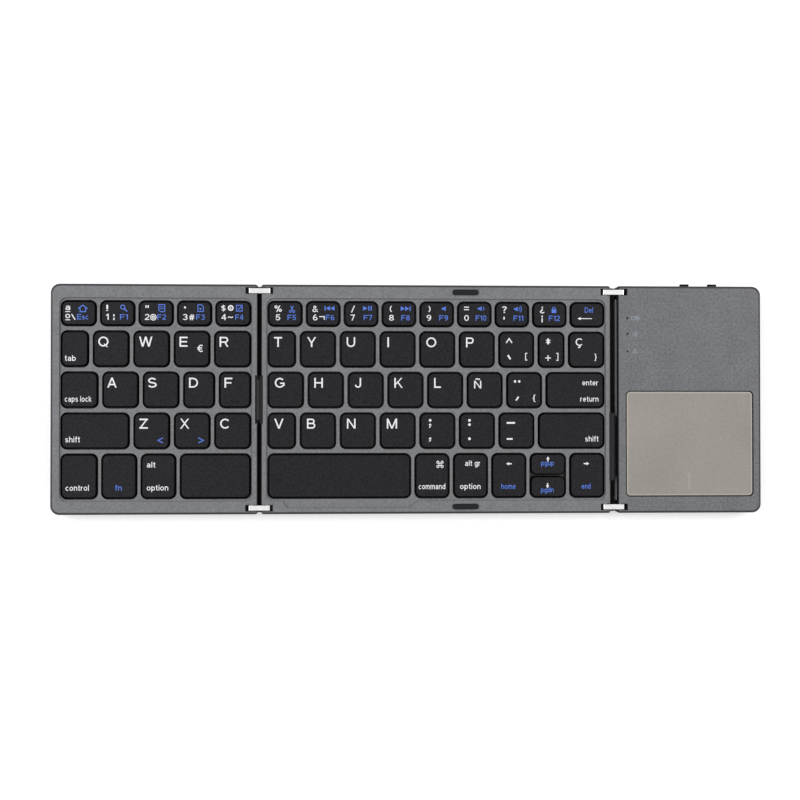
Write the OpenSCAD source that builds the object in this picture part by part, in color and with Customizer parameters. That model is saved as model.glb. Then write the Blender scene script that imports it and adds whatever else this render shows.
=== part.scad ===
// Three-panel folding wireless keyboard with a touchpad, laid open.
// Millimetres, +Z up. The origin is on the table, under the middle of the opened casing.
// +X runs to the touchpad panel and +Y runs away from the typist.

/* [Panels] */
// Width of the opened keyboard
open_w = 304.5; // [302:0.5:312]
// Depth of the casing, front edge to rear edge
depth = 98; // [96:0.5:104]
// Height of the casing's rim above the table
body_h = 8; // [7.8:0.1:9]
// Width of the left panel
left_w = 87.3; // [86:0.1:89]
// Width of the middle panel
middle_w = 150.1; // [149:0.1:152]
// Gap at the left fold
left_gap = 1.45; // [1.2:0.05:2]
// Gap at the right fold
right_gap = 2.95; // [2.5:0.05:3.2]
// Plan radius of the casing's outer corners
corner_r = 3.8; // [3:0.1:5]
// Plan radius of the corners beside a fold
fold_corner_r = 1.1; // [1:0.05:1.2]
// Rounding of the rim's upper edge
rim_round = 0.95; // [0.7:0.05:0.95]
// Rounding of the bottom cover's lower edge
base_round = 0.9; // [0.4:0.05:0.95]

/* [Shells] */
// Thickness of the casing's side walls
wall_t = 1.2; // [1.1:0.05:1.3]
// Thickness of the bottom covers
floor_t = 1; // [0.8:0.05:1.3]
// Thickness of the deck between the keys
deck_t = 1.1; // [0.9:0.05:1.2]
// Depth of the key field below the rim
deck_step = 0.6; // [0.4:0.05:0.8]
// Thickness of the touchpad panel's top
roof_t = 1.2; // [1.1:0.05:1.3]
// Height of the seam between the shells above the table
seam_z = 4.4; // [4:0.1:4.7]
// Width of the seam
seam_gap = 0.25; // [0.1:0.05:0.4]
// Thickness of the lip inside the seam
lip_t = 0.6; // [0.4:0.05:0.65]
// Height of the lip above the seam
lip_rise = 0.8; // [0.4:0.1:1]
// Depth of the shadow groove along a fold
groove_d = 0.5; // [0.3:0.05:0.6]

/* [Keys] */
// Distance from the left edge of the casing to the key field
left_margin = 4.2; // [3.8:0.1:4.6]
// Distance from a fold's wall to the key field
fold_margin = 2.6; // [2.5:0.05:2.9]
// Distance from the rear edge to the key field
rear_margin = 6.9; // [6.8:0.1:7.4]
// Distance from the front edge to the key field
front_margin = 6.5; // [6.4:0.1:7]
// Gap between two rows of keys
row_gap = 1.5; // [1.3:0.05:1.8]
// Depth of a key in the number row
number_row_h = 11.3; // [11:0.1:11.8]
// Depth of a key in a letter row
letter_row_h = 15.9; // [15.5:0.1:16.4]
// Corner radius of a key's opening
key_r = 2.9; // [2.4:0.1:3]
// Gap round a key in its opening
key_clearance = 0.45; // [0.3:0.05:0.6]
// Height of a key cap
cap_h = 2; // [1.8:0.1:2.2]
// Thickness of a key cap's top
cap_roof = 0.9; // [0.7:0.05:1]
// Thickness of a key cap's sides
cap_wall = 0.9; // [0.7:0.05:1]
// How far a key cap lies below the rim
cap_drop = 0.1; // [0:0.05:0.3]
// Gap between the two half-height arrow keys
arrow_gap = 0.6; // [0.4:0.05:0.9]
// Height of a rubber dome
dome_h = 3; // [2.9:0.05:3.1]
// Radius of a rubber dome's foot
dome_r = 2.4; // [2.1:0.05:2.5]
// Length of a scissor lever
scissor_l = 7; // [6.8:0.1:7.1]
// Width of the outer scissor lever
scissor_w = 9; // [8.8:0.1:9.2]
// Thickness of a scissor lever
scissor_t = 0.7; // [0.5:0.05:0.8]
// Thickness of the switch membrane
membrane_t = 0.2; // [0.15:0.05:0.3]
// Thickness of the steel plate under the keys
plate_t = 0.4; // [0.3:0.05:0.5]

/* [Hinges] */
// Distance between the two pins of a hinge link
link_span = 6.5; // [6.4:0.05:6.6]
// Gap left between two panels that are folded shut
closed_gap = 0.6; // [0.6:0.05:0.8]
// How far the folded left panel stands past the middle one
left_overhang = 0.1; // [0:0.05:0.2]
// How far the folded right panel stands past the middle one
right_overhang = 0.05; // [0:0.05:0.2]
// Radius of a hinge pin
pin_r = 0.6; // [0.5:0.05:0.65]
// Running clearance of a hinge pin, on the radius
pin_clearance = 0.05; // [0.02:0.01:0.08]
// Radius of a hinge link's ends
link_r = 1.45; // [1.3:0.05:1.5]
// Height of a link's top above its pins
link_top = 2.3; // [2.1:0.05:2.35]
// Thickness of a hinge link
link_t = 2.1; // [1.9:0.05:2.3]
// Thickness of the ear outside a link
ear_t = 1.25; // [1.1:0.05:1.4]
// Gap between a link and the walls of its pocket
link_play = 0.38; // [0.3:0.02:0.5]
// Wall between a hinge pocket and the inside of the casing
pocket_wall = 1.2; // [1:0.05:1.3]

/* [Fold covers] */
// Length of the left fold's cable cover
left_cover_l = 20.3; // [18:0.1:24]
// Middle of the left fold's cable cover, along Y
left_cover_y = -0.1; // [-6:0.1:6]
// Length of the right fold's cable cover
right_cover_l = 29; // [26:0.1:32]
// Middle of the right fold's cable cover, along Y
right_cover_y = -20.4; // [-24:0.1:-16]
// Depth of the left panel's notch beside its cable cover
cover_notch = 1.1; // [0.9:0.05:1.15]
// How far the left cover's bar reaches into the middle panel's notch
left_cover_seat = 0.6; // [0.2:0.05:0.8]
// How far the right cover's bar reaches into the middle panel's notch
right_cover_seat = 0.5; // [0.3:0.05:0.8]
// How far a cable cover lies below the rim
cover_drop = 0.6; // [0.4:0.05:0.8]
// Thickness of a flexible cable
cable_t = 0.2; // [0.1:0.05:0.25]
// Depth of the loop in which a flexible cable hangs in its fold
cable_loop = 2.6; // [2:0.1:2.8]

/* [Touchpad panel] */
// Width of the touchpad's opening
pad_w = 55.5; // [53:0.1:56]
// Depth of the touchpad's opening
pad_d = 45.4; // [43:0.1:46]
// Distance from the right edge of the casing to the touchpad's opening
pad_side = 3.5; // [3.3:0.05:3.8]
// Distance from the front edge of the casing to the touchpad's opening
pad_front = 7.2; // [7:0.1:8]
// Corner radius of the touchpad's opening
pad_r = 1.7; // [1.2:0.1:2.5]
// Gap round the touchpad
pad_clearance = 0.3; // [0.25:0.05:0.4]
// Thickness of the touchpad's plate
pad_t = 1.1; // [1:0.05:1.15]
// Thickness of a circuit board
board_t = 0.8; // [0.6:0.05:0.9]
// Distance from the fold to the middle of the power knob, along X
knob_x = 29.8; // [29:0.1:31]
// Distance from the fold to the middle of the pairing button, along X
button_x = 41.95; // [41:0.1:43]
// Width of the power knob and of the pairing button
knob_w = 3.7; // [3.4:0.1:4]
// Height of the power knob and of the pairing button
knob_h = 1.2; // [1:0.05:1.3]
// How far the knob and the button stand out of the rear edge
knob_proud = 1; // [0.8:0.05:1.2]
// Travel of the power knob
knob_travel = 2; // [1.5:0.1:2.2]
// Travel of the pairing button
button_travel = 0.5; // [0.3:0.05:0.6]
// Radius of an indicator light
light_r = 0.4; // [0.3:0.05:0.5]
// Width of the charging socket
socket_w = 7.5; // [7:0.1:8]
// Height of the charging socket
socket_h = 2.6; // [2.4:0.05:2.8]
// Distance from the fold to the middle of the charging socket, along X
socket_x = 20.5; // [20:0.1:21]
// Width of the battery
battery_w = 46; // [40:0.5:50]
// Depth of the battery
battery_d = 19; // [16:0.5:20]
// Thickness of the battery
battery_h = 3.2; // [2.5:0.1:3.6]

/* [Feet, bumpers and fasteners] */
// Height of the rubber feet below the bottom covers
foot_h = 0.5; // [0.4:0.05:0.6]
// Radius of a rubber foot
foot_r = 3.5; // [2.5:0.1:4]
// Depth of a foot's seat in the cover
foot_seat = 0.2; // [0.1:0.05:0.3]
// Distance of a foot's middle from the front or rear edge
foot_inset = 11; // [10:0.5:14]
// Length of a bumper pad
bumper_l = 11.2; // [10:0.1:12]
// Width of a bumper pad
bumper_w = 2.35; // [2:0.05:2.5]
// Gap between a bumper pad and the panel folded onto it
bumper_clearance = 0.1; // [0.05:0.05:0.3]
// Depth of a bumper pad's seat in the rim
bumper_seat = 1; // [0.8:0.05:1.1]
// Distance from an edge of the casing to a bumper's middle
bumper_inset = 3.1; // [2.9:0.05:3.2]
// Radius of a casing screw's shank
screw_r = 0.6; // [0.5:0.05:0.7]
// Radius of a casing screw's head
screw_head_r = 1.3; // [1.1:0.05:1.4]
// Radius of a screw boss
boss_r = 1.6; // [1.5:0.05:1.7]
// Distance from an edge of the casing to a screw's middle
screw_inset = 3.7; // [3.6:0.05:3.8]
// Length of a magnet
magnet_l = 7; // [5:0.1:8]
// Width of a magnet
magnet_w = 2; // [1.5:0.1:2.4]
// Height of a magnet
magnet_h = 3; // [2:0.1:3.2]
// Distance from a panel's outer edge to the middle of its magnets
magnet_x = 13.25; // [12:0.25:14]

/* [Hidden] */

$fn = 40;
past = 1; // how far a cutting shape runs past the face it cuts
touch = 0.05; // gap between pieces that lie against each other
free = 0.15; // gap between pieces that pass each other

// Panels, along X and Y
left_x0 = -open_w / 2;
left_x1 = left_x0 + left_w;
middle_x0 = left_x1 + left_gap;
middle_x1 = middle_x0 + middle_w;
right_x0 = middle_x1 + right_gap;
right_x1 = open_w / 2;
rear_y = depth / 2;
front_y = -rear_y;

// Levels, along Z
floor_z = foot_h;
inside_z = floor_z + floor_t;
deck_z = body_h - deck_step;
deck_under = deck_z - deck_t;
roof_under = body_h - roof_t;
cap_z = body_h - cap_drop;
cap_low = cap_z - cap_h;
dome_gap = 0.1;
dome_z = cap_z - cap_roof - dome_gap;
membrane_z = dome_z - dome_h;
plate_z = membrane_z - membrane_t;
plate_low = plate_z - plate_t;
lip_z = seam_z + lip_rise;
groove_z = deck_under;

// Key field. A key width of 0 takes what is left of its row.
left_field = [left_x0 + left_margin, left_x1 - fold_margin];
middle_field = [middle_x0 + fold_margin, middle_x1 - fold_margin];
last_row_h = depth - rear_margin - front_margin - number_row_h - 3 * letter_row_h - 4 * row_gap;
row_h = [number_row_h, letter_row_h, letter_row_h, letter_row_h, last_row_h];
key_gaps = [1.1, 1.32, 1.32, 1.32, 1.2];
left_rows = [
  [15.3, 15.1, 15.1, 15.1, 0],
  [12.1, 15.7, 15.7, 15.7, 0],
  [16.1, 15.7, 15.7, 13.75, 0],
  [29.25, 15.7, 15.7, 0],
  [15.9, 15.35, 15.25, 0]
];
middle_rows = [
  [15.15, 15.05, 15.1, 15.1, 15.1, 15.1, 15.1, 15.15, 0],
  [12.35, 15.7, 15.7, 15.7, 15.7, 15.7, 15.7, 11.85, 0],
  [15.75, 15.7, 15.7, 15.7, 15.7, 15.7, 15.7, 0],
  [12.4, 15.7, 15.7, 15.7, 15.7, 15.7, 15.7, 0],
  [61.5, 15.3, 15.3, 15.35, 15.95, 0]
];
arrow_column = 4; // the key of the last middle row that is split in two
wide_key = 24; // keys wider than this have a levelling wire

// Hinges. Each fold is [middle panel's wall, outer panel's wall, direction away from the middle,
// distance of the middle pin behind its wall, distance of the outer pin behind its wall]
left_inset = (link_span - left_gap - left_overhang) / 2;
right_inset = (link_span - right_gap - right_overhang) / 2;
left_fold = [middle_x0, left_x1, -1, left_inset, left_inset + left_overhang];
right_fold = [middle_x1, right_x0, 1, right_inset, right_inset + right_overhang];
pin_z = body_h - (link_span - closed_gap) / 2;
pocket_d = link_t + 2 * link_play;
pocket_y = rear_y - ear_t - pocket_d / 2;
pocket_reach = link_top + 0.3;
pocket_low = pin_z - link_r - 0.4;
block_d = ear_t + pocket_d + pocket_wall;
block_reach = pocket_reach + pocket_wall;

// Touchpad
pad_x1 = right_x1 - pad_side;
pad_x0 = pad_x1 - pad_w;
pad_y0 = front_y + pad_front;
pad_y1 = pad_y0 + pad_d;
pad_z = body_h - 0.15;
pad_low = pad_z - pad_t;
sensor_rim = 1;
sensor_low = pad_low - board_t;
pad_axis_y = pad_y1 + 1.8;
pad_axis_z = pad_low - board_t / 2;
pad_hooks = [pad_x0 + 13, pad_x1 - 13];
click_gap = 0.4;

// Board, switches and sockets of the touchpad panel
board_low = floor_z + 2.5;
board_z = board_low + board_t;
knob_mid = right_x0 + knob_x;
button_mid = right_x0 + button_x;
socket_mid = right_x0 + socket_x;
knob_z = 5.6;
light_x = right_x0 + 4.35;
light_y = [35.1, 28.35, 20.75];
board_x0 = right_x0 + 2.6;
board_x1 = right_x0 + 44.5;
board_y0 = 28;
board_y1 = rear_y - 2.5;
board_arm_y = 17.5;

// Fastenings
left_screw_x = [left_x0 + 6, left_x0 + left_w / 2 - 1.6, left_x1 - 11.3];
middle_screw_x = [middle_x0 + 10, middle_x0 + 55, middle_x1 - 32, middle_x1 - 10];
right_screw_x = [right_x0 + 10, right_x1 - 5.25];
screw_y = rear_y - screw_inset;
screw_tip = 3.6;
left_magnet_x = left_x0 + magnet_x;
right_magnet_x = right_x1 - magnet_x;
magnet_y = rear_y - 3.6;
// a folded panel lays its magnets over these places of the middle panel
folded_left = middle_x0 - left_overhang + left_x1;
folded_right = middle_x1 + right_overhang + right_x0;
bumper_x = (folded_left - left_x0 + folded_right - right_x1) / 2;
bumper_y = rear_y - bumper_inset;

// ---------- plain shapes ----------

module box(low, high) {
  translate(low) cube(high - low);
}

// Upright box with rounded corners in plan
module rounded_box(low, high, r) {
  box([low.x + r, low.y, low.z], [high.x - r, high.y, high.z]);
  box([low.x, low.y + r, low.z], [high.x, high.y - r, high.z]);
  for (x = [low.x + r, high.x - r], y = [low.y + r, high.y - r])
    translate([x, y, low.z]) cylinder(r = r, h = high.z - low.z);
}

// Cylinder along Y, from one height to another
module rod_y(x, y0, y1, z, r) {
  translate([x, y1, z]) rotate([90, 0, 0]) cylinder(r = r, h = y1 - y0);
}

// Section of a casing's edge, inner end at x = 0 and outer face at x = d, with a round of its own
// below and above
module edge_section(d, z0, z1, round_low, round_high) {
  inner = max(round_low, round_high);
  translate([0, z0]) square([d - inner, z1 - z0]);
  translate([0, z0 + round_low]) square([d, z1 - round_high - z0 - round_low]);
  if (round_low > 0) {
    translate([d - round_low, z0 + round_low]) quarter_disc(round_low);
    translate([0, z0]) square([d - round_low, round_low]);
  }
  if (round_high > 0) {
    translate([d - round_high, z1 - round_high]) mirror([0, 1]) quarter_disc(round_high);
    translate([0, z1 - round_high]) square([d - round_high, round_high]);
  }
}

// The quarter of a disc that lies right of and below its middle
module quarter_disc(r) {
  intersection() {
    circle(r);
    translate([0, -r]) square(r);
  }
}

// Straight run of a casing's edge, l long, its outer face at x = 0
module edge_run(l, d, z0, z1, round_low, round_high) {
  linear_extrude(l)
    translate([d, 0]) mirror([1, 0]) edge_section(d, z0, z1, round_low, round_high);
}

module slab_corner(x, y, turn, r, z0, z1, round_low, round_high) {
  translate([x, y, 0])
    rotate([0, 0, turn])
      rotate_extrude(angle = 90) edge_section(r, z0, z1, round_low, round_high);
}

// Casing slab over one panel's plan, its outer edges rounded all round
module slab(x0, x1, r_left, r_right, z0, z1, round_low, round_high) {
  strip = max(r_left, r_right) + 0.5;
  long_x = x1 - x0 - r_left - r_right;
  for (side = [0, 1]) {
    mirror([0, side, 0])
      translate([x0 + r_left, front_y, 0])
        rotate([90, 0, 90]) edge_run(long_x, strip, z0, z1, round_low, round_high);
  }
  translate([x0, rear_y - r_left, 0])
    rotate([90, 0, 0])
      edge_run(depth - 2 * r_left, strip, z0, z1, round_low, round_high);
  translate([x1, rear_y - r_right, 0])
    mirror([1, 0, 0])
      rotate([90, 0, 0])
        edge_run(depth - 2 * r_right, strip, z0, z1, round_low, round_high);
  slab_corner(x0 + r_left, front_y + r_left, 180, r_left, z0, z1, round_low, round_high);
  slab_corner(x0 + r_left, rear_y - r_left, 90, r_left, z0, z1, round_low, round_high);
  slab_corner(x1 - r_right, front_y + r_right, 270, r_right, z0, z1, round_low, round_high);
  slab_corner(x1 - r_right, rear_y - r_right, 0, r_right, z0, z1, round_low, round_high);
  box([x0 + r_left, front_y + r_left, z0], [x1 - r_right, rear_y - r_left, z1]);
}

// Plan area inside the casing's walls, shrunk by inset
module inner_plan(x0, x1, inset, z0, z1) {
  rounded_box(
    [x0 + inset, front_y + inset, z0],
    [x1 - inset, rear_y - inset, z1],
    max(corner_r - inset, 0.5)
  );
}

// ---------- keys ----------

function sum(v, n) = n <= 0 ? 0 : v[n - 1] + sum(v, n - 1);
function filled(row, gap, span) =
  [for (w = row) w > 0 ? w : span - sum(row, len(row)) - gap * (len(row) - 1)];
function row_top(r) = rear_y - rear_margin - sum(row_h, r) - row_gap * r;

// Openings of one row, each [left, front, width, depth]
function row_keys(rows, field, r) =
  let (w = filled(rows[r], key_gaps[r], field[1] - field[0]))
    [for (i = [0:len(w) - 1])
      [field[0] + sum(w, i) + key_gaps[r] * i, row_top(r) - row_h[r], w[i], row_h[r]]];
function left_keys(r) = row_keys(left_rows, left_field, r);
function middle_keys(r) = row_keys(middle_rows, middle_field, r);

// The caps under one opening: one, or two for the split arrow key
function halves(k) =
  let (h = (k[3] - arrow_gap) / 2 + key_clearance)
    [[k[0], k[1], k[2], h], [k[0], k[1] + k[3] - h, k[2], h]];
function split_middle(r) =
  [for (i = [0:len(middle_rows[r]) - 1], part = r == 4 && i == arrow_column
    ? halves(middle_keys(r)[i]) : [middle_keys(r)[i]]) part];
function all_left() = [for (r = [0:4], k = left_keys(r)) k];
function all_middle() = [for (r = [0:4], k = split_middle(r)) k];

module key_opening(k) {
  rounded_box([k[0], k[1], deck_under - past], [k[0] + k[2], k[1] + k[3], body_h + past], key_r);
}

module key_cap(k) {
  x0 = k[0] + key_clearance;
  x1 = k[0] + k[2] - key_clearance;
  y0 = k[1] + key_clearance;
  y1 = k[1] + k[3] - key_clearance;
  r = key_r - key_clearance;
  difference() {
    rounded_box([x0, y0, cap_low], [x1, y1, cap_z], r);
    rounded_box(
      [x0 + cap_wall, y0 + cap_wall, cap_low - past],
      [x1 - cap_wall, y1 - cap_wall, cap_z - cap_roof],
      r - cap_wall
    );
  }
}

module key_caps(keys, first, last) {
  color("#2b2b2e")
    for (i = [first:last]) key_cap(keys[i]);
}

module dome(k) {
  foot = 0.3;
  crown = 0.6;
  translate([k[0] + k[2] / 2, k[1] + k[3] / 2, membrane_z])
    rotate_extrude()
      polygon([
        [0, 0], [dome_r, 0], [dome_r, foot], [dome_r - 0.3, foot],
        [dome_r - 1, dome_h - crown], [dome_r - 1, dome_h], [0, dome_h]
      ]);
}

// One lever frame of a scissor, tilted so that it spans from the membrane to the cap
module lever(l, w, tilt) {
  rotate([0, tilt, 0])
    difference() {
      cube([l, w, scissor_t], center = true);
      cube([l - 2 * scissor_t, w - 2 * scissor_t, scissor_t + past], center = true);
    }
}

module scissor(k) {
  rise = dome_z - membrane_z - 2 * dome_gap;
  tilt = asin((rise - scissor_t) / scissor_l);
  turn = k[3] < 14 ? 90 : 0;
  play = 0.3;
  inner_w = scissor_w - 2 * scissor_t - 2 * play;
  translate([k[0] + k[2] / 2, k[1] + k[3] / 2, membrane_z + dome_gap + rise / 2])
    rotate([0, 0, turn]) {
      lever(scissor_l, scissor_w, tilt);
      lever(scissor_l, inner_w, -tilt);
    }
}

// Levelling wire under a wide key
module levelling_wire(k) {
  wire_r = 0.4;
  arm = 3;
  x0 = k[0] + key_clearance + cap_wall + 1;
  x1 = k[0] + k[2] - key_clearance - cap_wall - 1;
  y = k[1] + k[3] / 2 - scissor_w / 2 - 1;
  z = membrane_z + dome_gap + wire_r;
  translate([x0, y, z]) rotate([0, 90, 0]) cylinder(r = wire_r, h = x1 - x0);
  for (x = [x0 + wire_r, x1 - wire_r]) rod_y(x, y, y + arm, z, wire_r);
}

module scissors(keys) {
  for (k = keys) {
    scissor(k);
    if (k[2] > wide_key) levelling_wire(k);
  }
}

// Row of thin walls under the deck that holds the membrane down
module deck_ribs(field) {
  rib_t = row_gap - 0.5;
  for (r = [1:4]) {
    y = row_top(r) + row_gap / 2;
    box([field[0], y - rib_t / 2, membrane_z + cable_t + touch], [field[1], y + rib_t / 2, deck_under + touch]);
  }
}

module key_plate(field, z0, z1) {
  grow = 0.4;
  rounded_box(
    [field[0] - grow, front_y + front_margin - grow, z0],
    [field[1] + grow, rear_y - rear_margin + grow, z1],
    2
  );
}

// Recess that sinks the key field below the rim
module field_recess(field) {
  side = 0.35;
  front = 0.9;
  rear = 1;
  rounded_box(
    [field[0] - side, front_y + front_margin - front, deck_z],
    [field[1] + side, rear_y - rear_margin + rear, body_h + past],
    key_r + side
  );
}

// Thumb recess in the rim in front of the wide space bar
module thumb_recess() {
  k = middle_keys(4)[0];
  y1 = front_y + front_margin - 0.9;
  y0 = front_y + 2.6;
  slope = 2.3;
  translate([0, 0, deck_z])
    linear_extrude(deck_step + past)
      polygon([
        [k[0] + 6.4, y1 + past], [k[0] + k[2] + 2.6 + past, y1 + past],
        [k[0] + k[2] + 2.6, y1], [k[0] + k[2] - 1, y0],
        [k[0] + 6.4 + slope, y0], [k[0] + 6.4, y1]
      ]);
}

// ---------- folds ----------

function middle_pin(fold) = fold[0] - fold[2] * fold[3];
function outer_pin(fold) = fold[1] + fold[2] * fold[4];

// Box from a fold's wall into the panel behind it. into is +1 or -1 along X.
module wall_box(wall, into, reach, y0, y1, z0, z1) {
  box([min(wall, wall + into * reach), y0, z0], [max(wall, wall + into * reach), y1, z1]);
}

// Block that carries one hinge pocket, at the rear and at the front. Below the seam it is the
// casing's own corner, so that the bottom cover stops beside it.
module hinge_blocks(wall, into, pin_inset) {
  r = fold_corner_r - touch;
  corner_x = wall + into * (touch + r);
  corner_y = rear_y - touch - r;
  long_x = pin_inset + block_reach - fold_corner_r;
  low_x = min(corner_x, corner_x + into * long_x);
  low_z = inside_z + touch;
  rise = 0.5; // how far the lower part reaches into the upper one
  for (end = [0, 1])
    mirror([0, end, 0]) {
      translate([0, 0, low_z])
        linear_extrude(seam_z + rise - low_z) {
          translate([low_x, rear_y - block_d]) square([long_x, block_d - touch]);
          translate([min(wall + into * touch, corner_x + into * rise), rear_y - block_d])
            square([r + rise, corner_y - rear_y + block_d]);
          translate([corner_x, corner_y]) circle(r);
        }
      wall_box(wall + into * fold_corner_r, into, long_x,
        rear_y - block_d, rear_y - rim_round, seam_z + rise / 2, body_h - rim_round);
    }
}

module hinge_pockets(wall, into, pin_inset) {
  for (end = [0, 1])
    mirror([0, end, 0]) {
      wall_box(wall - into * past, into, pin_inset + pocket_reach + past,
        pocket_y - pocket_d / 2, pocket_y + pocket_d / 2, pocket_low, body_h + past);
      rod_y(wall + into * pin_inset, rear_y - block_d + free, rear_y + past, pin_z,
        pin_r + pin_clearance);
    }
}

// Room for the hinge blocks in a bottom cover's walls
module block_room(wall, into, pin_inset) {
  for (end = [0, 1])
    mirror([0, end, 0])
      wall_box(wall - into * past, into, pin_inset + block_reach + free + past,
        rear_y - block_d - free, rear_y + past, inside_z, lip_z + past);
}

// Shadow groove between the shells along a fold
module fold_groove(wall, into) {
  y = rear_y - block_d;
  wall_box(wall - into * past, into, groove_d + past, -y, y, 0, groove_z);
}

// Notch for the cable cover in a fold wall, and the window behind it for the cable
module cover_room(wall, into, y, l, notch) {
  wall_box(wall - into * past, into, notch + past,
    y - l / 2 - free, y + l / 2 + free, seam_z, body_h + past);
  cable_window(wall, into, y, l);
}

module cable_window(wall, into, y, l) {
  wall_box(wall - into * past, into, wall_t + lip_t + 1 + past,
    y - l / 2 - free, y + l / 2 + free, membrane_z, deck_under - touch);
}

module hinge_link(fold) {
  x0 = min(middle_pin(fold), outer_pin(fold));
  top_r = 0.6;
  translate([x0, pocket_y + link_t / 2, pin_z])
    rotate([90, 0, 0])
      difference() {
        linear_extrude(link_t) {
          for (x = [0, link_span]) translate([x, 0]) circle(link_r);
          for (x = [top_r - link_r, link_span + link_r - top_r])
            translate([x, link_top - top_r]) circle(top_r);
          translate([0, -link_r]) square([link_span, link_r]);
          translate([-link_r, 0]) square([link_span + 2 * link_r, link_top - top_r]);
          translate([top_r - link_r, 0]) square([link_span + 2 * (link_r - top_r), link_top]);
        }
        for (x = [0, link_span])
          translate([x, 0, -past]) cylinder(r = pin_r + touch / 5, h = link_t + 2 * past);
      }
}

module hinge_links(fold) {
  color("#d8d9db")
    for (end = [0, 1]) mirror([0, end, 0]) hinge_link(fold);
}

module hinge_pins(fold) {
  pin_end = 0.1;
  color("#b8babd")
    for (end = [0, 1], x = [middle_pin(fold), outer_pin(fold)])
      mirror([0, end, 0])
        rod_y(x, rear_y - block_d + 2 * free, rear_y - pin_end, pin_z, pin_r);
}

// How far an outer panel's corner reaches from its pin as it turns past the cable cover. A notch
// leaves that corner sharp.
function sweep_r(fold, notch) =
  let (h = body_h - pin_z)
    notch > 0 ? norm([fold[4] - notch, h]) : norm([fold[4] - rim_round, h - rim_round]) + rim_round;

// Lip of the middle panel's bottom cover, below the cable in the open fold, and the thin skirt
// that runs on from it under the outer panel's rounded edge
module fold_lip(fold) {
  into = -fold[2];
  y = rear_y - 2 * free;
  skirt_t = 0.08;
  skirt_reach = 0.2;
  open_to = wall_t + abs(fold[1] - fold[0]);
  wall_box(fold[0] + into * wall_t, -into, open_to - free,
    -y, y, floor_z + touch, membrane_z - cable_loop - free);
  wall_box(fold[0] + into * wall_t, -into, open_to + skirt_reach,
    -y, y, floor_z + touch, floor_z + touch + skirt_t);
}

// Bar over the cable in a fold, held by a tongue through the middle panel's wall. Its outer side
// clears the outer panel's corner and top as that panel turns on its own pin, and the panel's wall
// as it turns on the middle panel's pin.
module cable_cover(fold, y, l, seat, notch) {
  bar_high = body_h - cover_drop - pin_z;
  bar_low = bar_high - 1.8;
  tongue_t = 0.5;
  flange_t = 0.4;
  round_r = 0.3;
  wall = link_span - fold[3];
  bar_start = body_h - pin_z + free;
  bar_end = wall + seat;
  tongue_end = wall + wall_t + free + flange_t;
  color("#29292c")
    translate([outer_pin(fold), y + l / 2, pin_z])
      rotate([90, 0, 0])
        linear_extrude(l)
          mirror([fold[2] > 0 ? 1 : 0, 0]) {
            difference() {
              intersection() {
                union() {
                  translate([bar_start, bar_low])
                    square([bar_end - bar_start, bar_high - round_r - bar_low]);
                  translate([bar_start, bar_low])
                    square([bar_end - round_r - bar_start, bar_high - bar_low]);
                  translate([bar_end - round_r, bar_high - round_r]) circle(round_r);
                }
                translate([link_span, 0]) circle(link_span - fold[4] - free);
              }
              circle(sweep_r(fold, notch) + free);
            }
            translate([bar_end - round_r, bar_low]) square([tongue_end - bar_end + round_r, tongue_t]);
            translate([tongue_end - flange_t, bar_low - flange_t])
              square([flange_t, 2 * flange_t + free]);
          }
}

// Flat cable between two panels. It hangs in a loop between the fold's walls.
module flex_cable(fold, y, l, middle_reach, outer_reach) {
  margin = 1.5;
  into = -fold[2];
  gap = abs(fold[1] - fold[0]);
  loop_r = gap / 2 - free;
  low = membrane_z - cable_loop + loop_r;
  leg = membrane_z + cable_t - low;
  color("#8a5a22")
    translate([(fold[0] + fold[1]) / 2, y + l / 2 - margin, 0])
      rotate([90, 0, 0])
        linear_extrude(l - 2 * margin) {
          for (side = [-1, 1])
            translate([side * (loop_r - cable_t / 2) - cable_t / 2, low]) square([cable_t, leg]);
          translate([into > 0 ? loop_r - cable_t : -gap / 2 - middle_reach, membrane_z])
            square([gap / 2 + middle_reach - loop_r + cable_t, cable_t]);
          translate([into > 0 ? -gap / 2 - outer_reach : loop_r - cable_t, membrane_z])
            square([gap / 2 + outer_reach - loop_r + cable_t, cable_t]);
          translate([0, low])
            difference() {
              circle(loop_r);
              circle(loop_r - cable_t);
              translate([-loop_r, 0]) square([2 * loop_r, loop_r]);
            }
        }
}

// ---------- fastenings ----------

module bosses(xs, under) {
  for (x = xs, y = [-screw_y, screw_y])
    translate([x, y, inside_z]) cylinder(r = boss_r, h = under + touch - inside_z);
}

module boss_holes(xs) {
  for (x = xs, y = [-screw_y, screw_y])
    translate([x, y, inside_z - past]) cylinder(r = screw_r + touch, h = past + screw_tip);
}

module screw_holes(xs) {
  head_h = 0.7;
  for (x = xs, y = [-screw_y, screw_y]) {
    translate([x, y, floor_z - past]) cylinder(r = screw_r + touch, h = floor_t + 2 * past);
    translate([x, y, floor_z]) cylinder(r1 = screw_head_r + touch, r2 = screw_r + touch, h = head_h);
    translate([x, y, floor_z - past]) cylinder(r = screw_head_r + touch, h = past + touch);
  }
}

module screws(xs) {
  head_h = 0.7;
  slot_t = 0.4;
  color("#3a3a3c")
    for (x = xs, y = [-screw_y, screw_y])
      translate([x, y, floor_z])
        difference() {
          union() {
            cylinder(r = screw_r, h = floor_t + screw_tip - free);
            translate([0, 0, touch]) cylinder(r1 = screw_head_r, r2 = screw_r, h = head_h - touch);
          }
          for (turn = [0, 90])
            rotate([0, 0, turn]) cube([2 * screw_r + 0.6, slot_t, 2 * slot_t], center = true);
        }
}

function feet_at(x0, x1) =
  [for (x = [x0, x1], y = [front_y + foot_inset, rear_y - foot_inset]) [x, y]];
left_feet_at = feet_at(left_x0 + 9.5, left_x1 - 9.5);
middle_feet_at = feet_at(middle_x0 + 9.5, middle_x1 - 9.5);
right_feet_at = feet_at(right_x0 + 10.5, right_x1 - 10.5);

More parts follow.
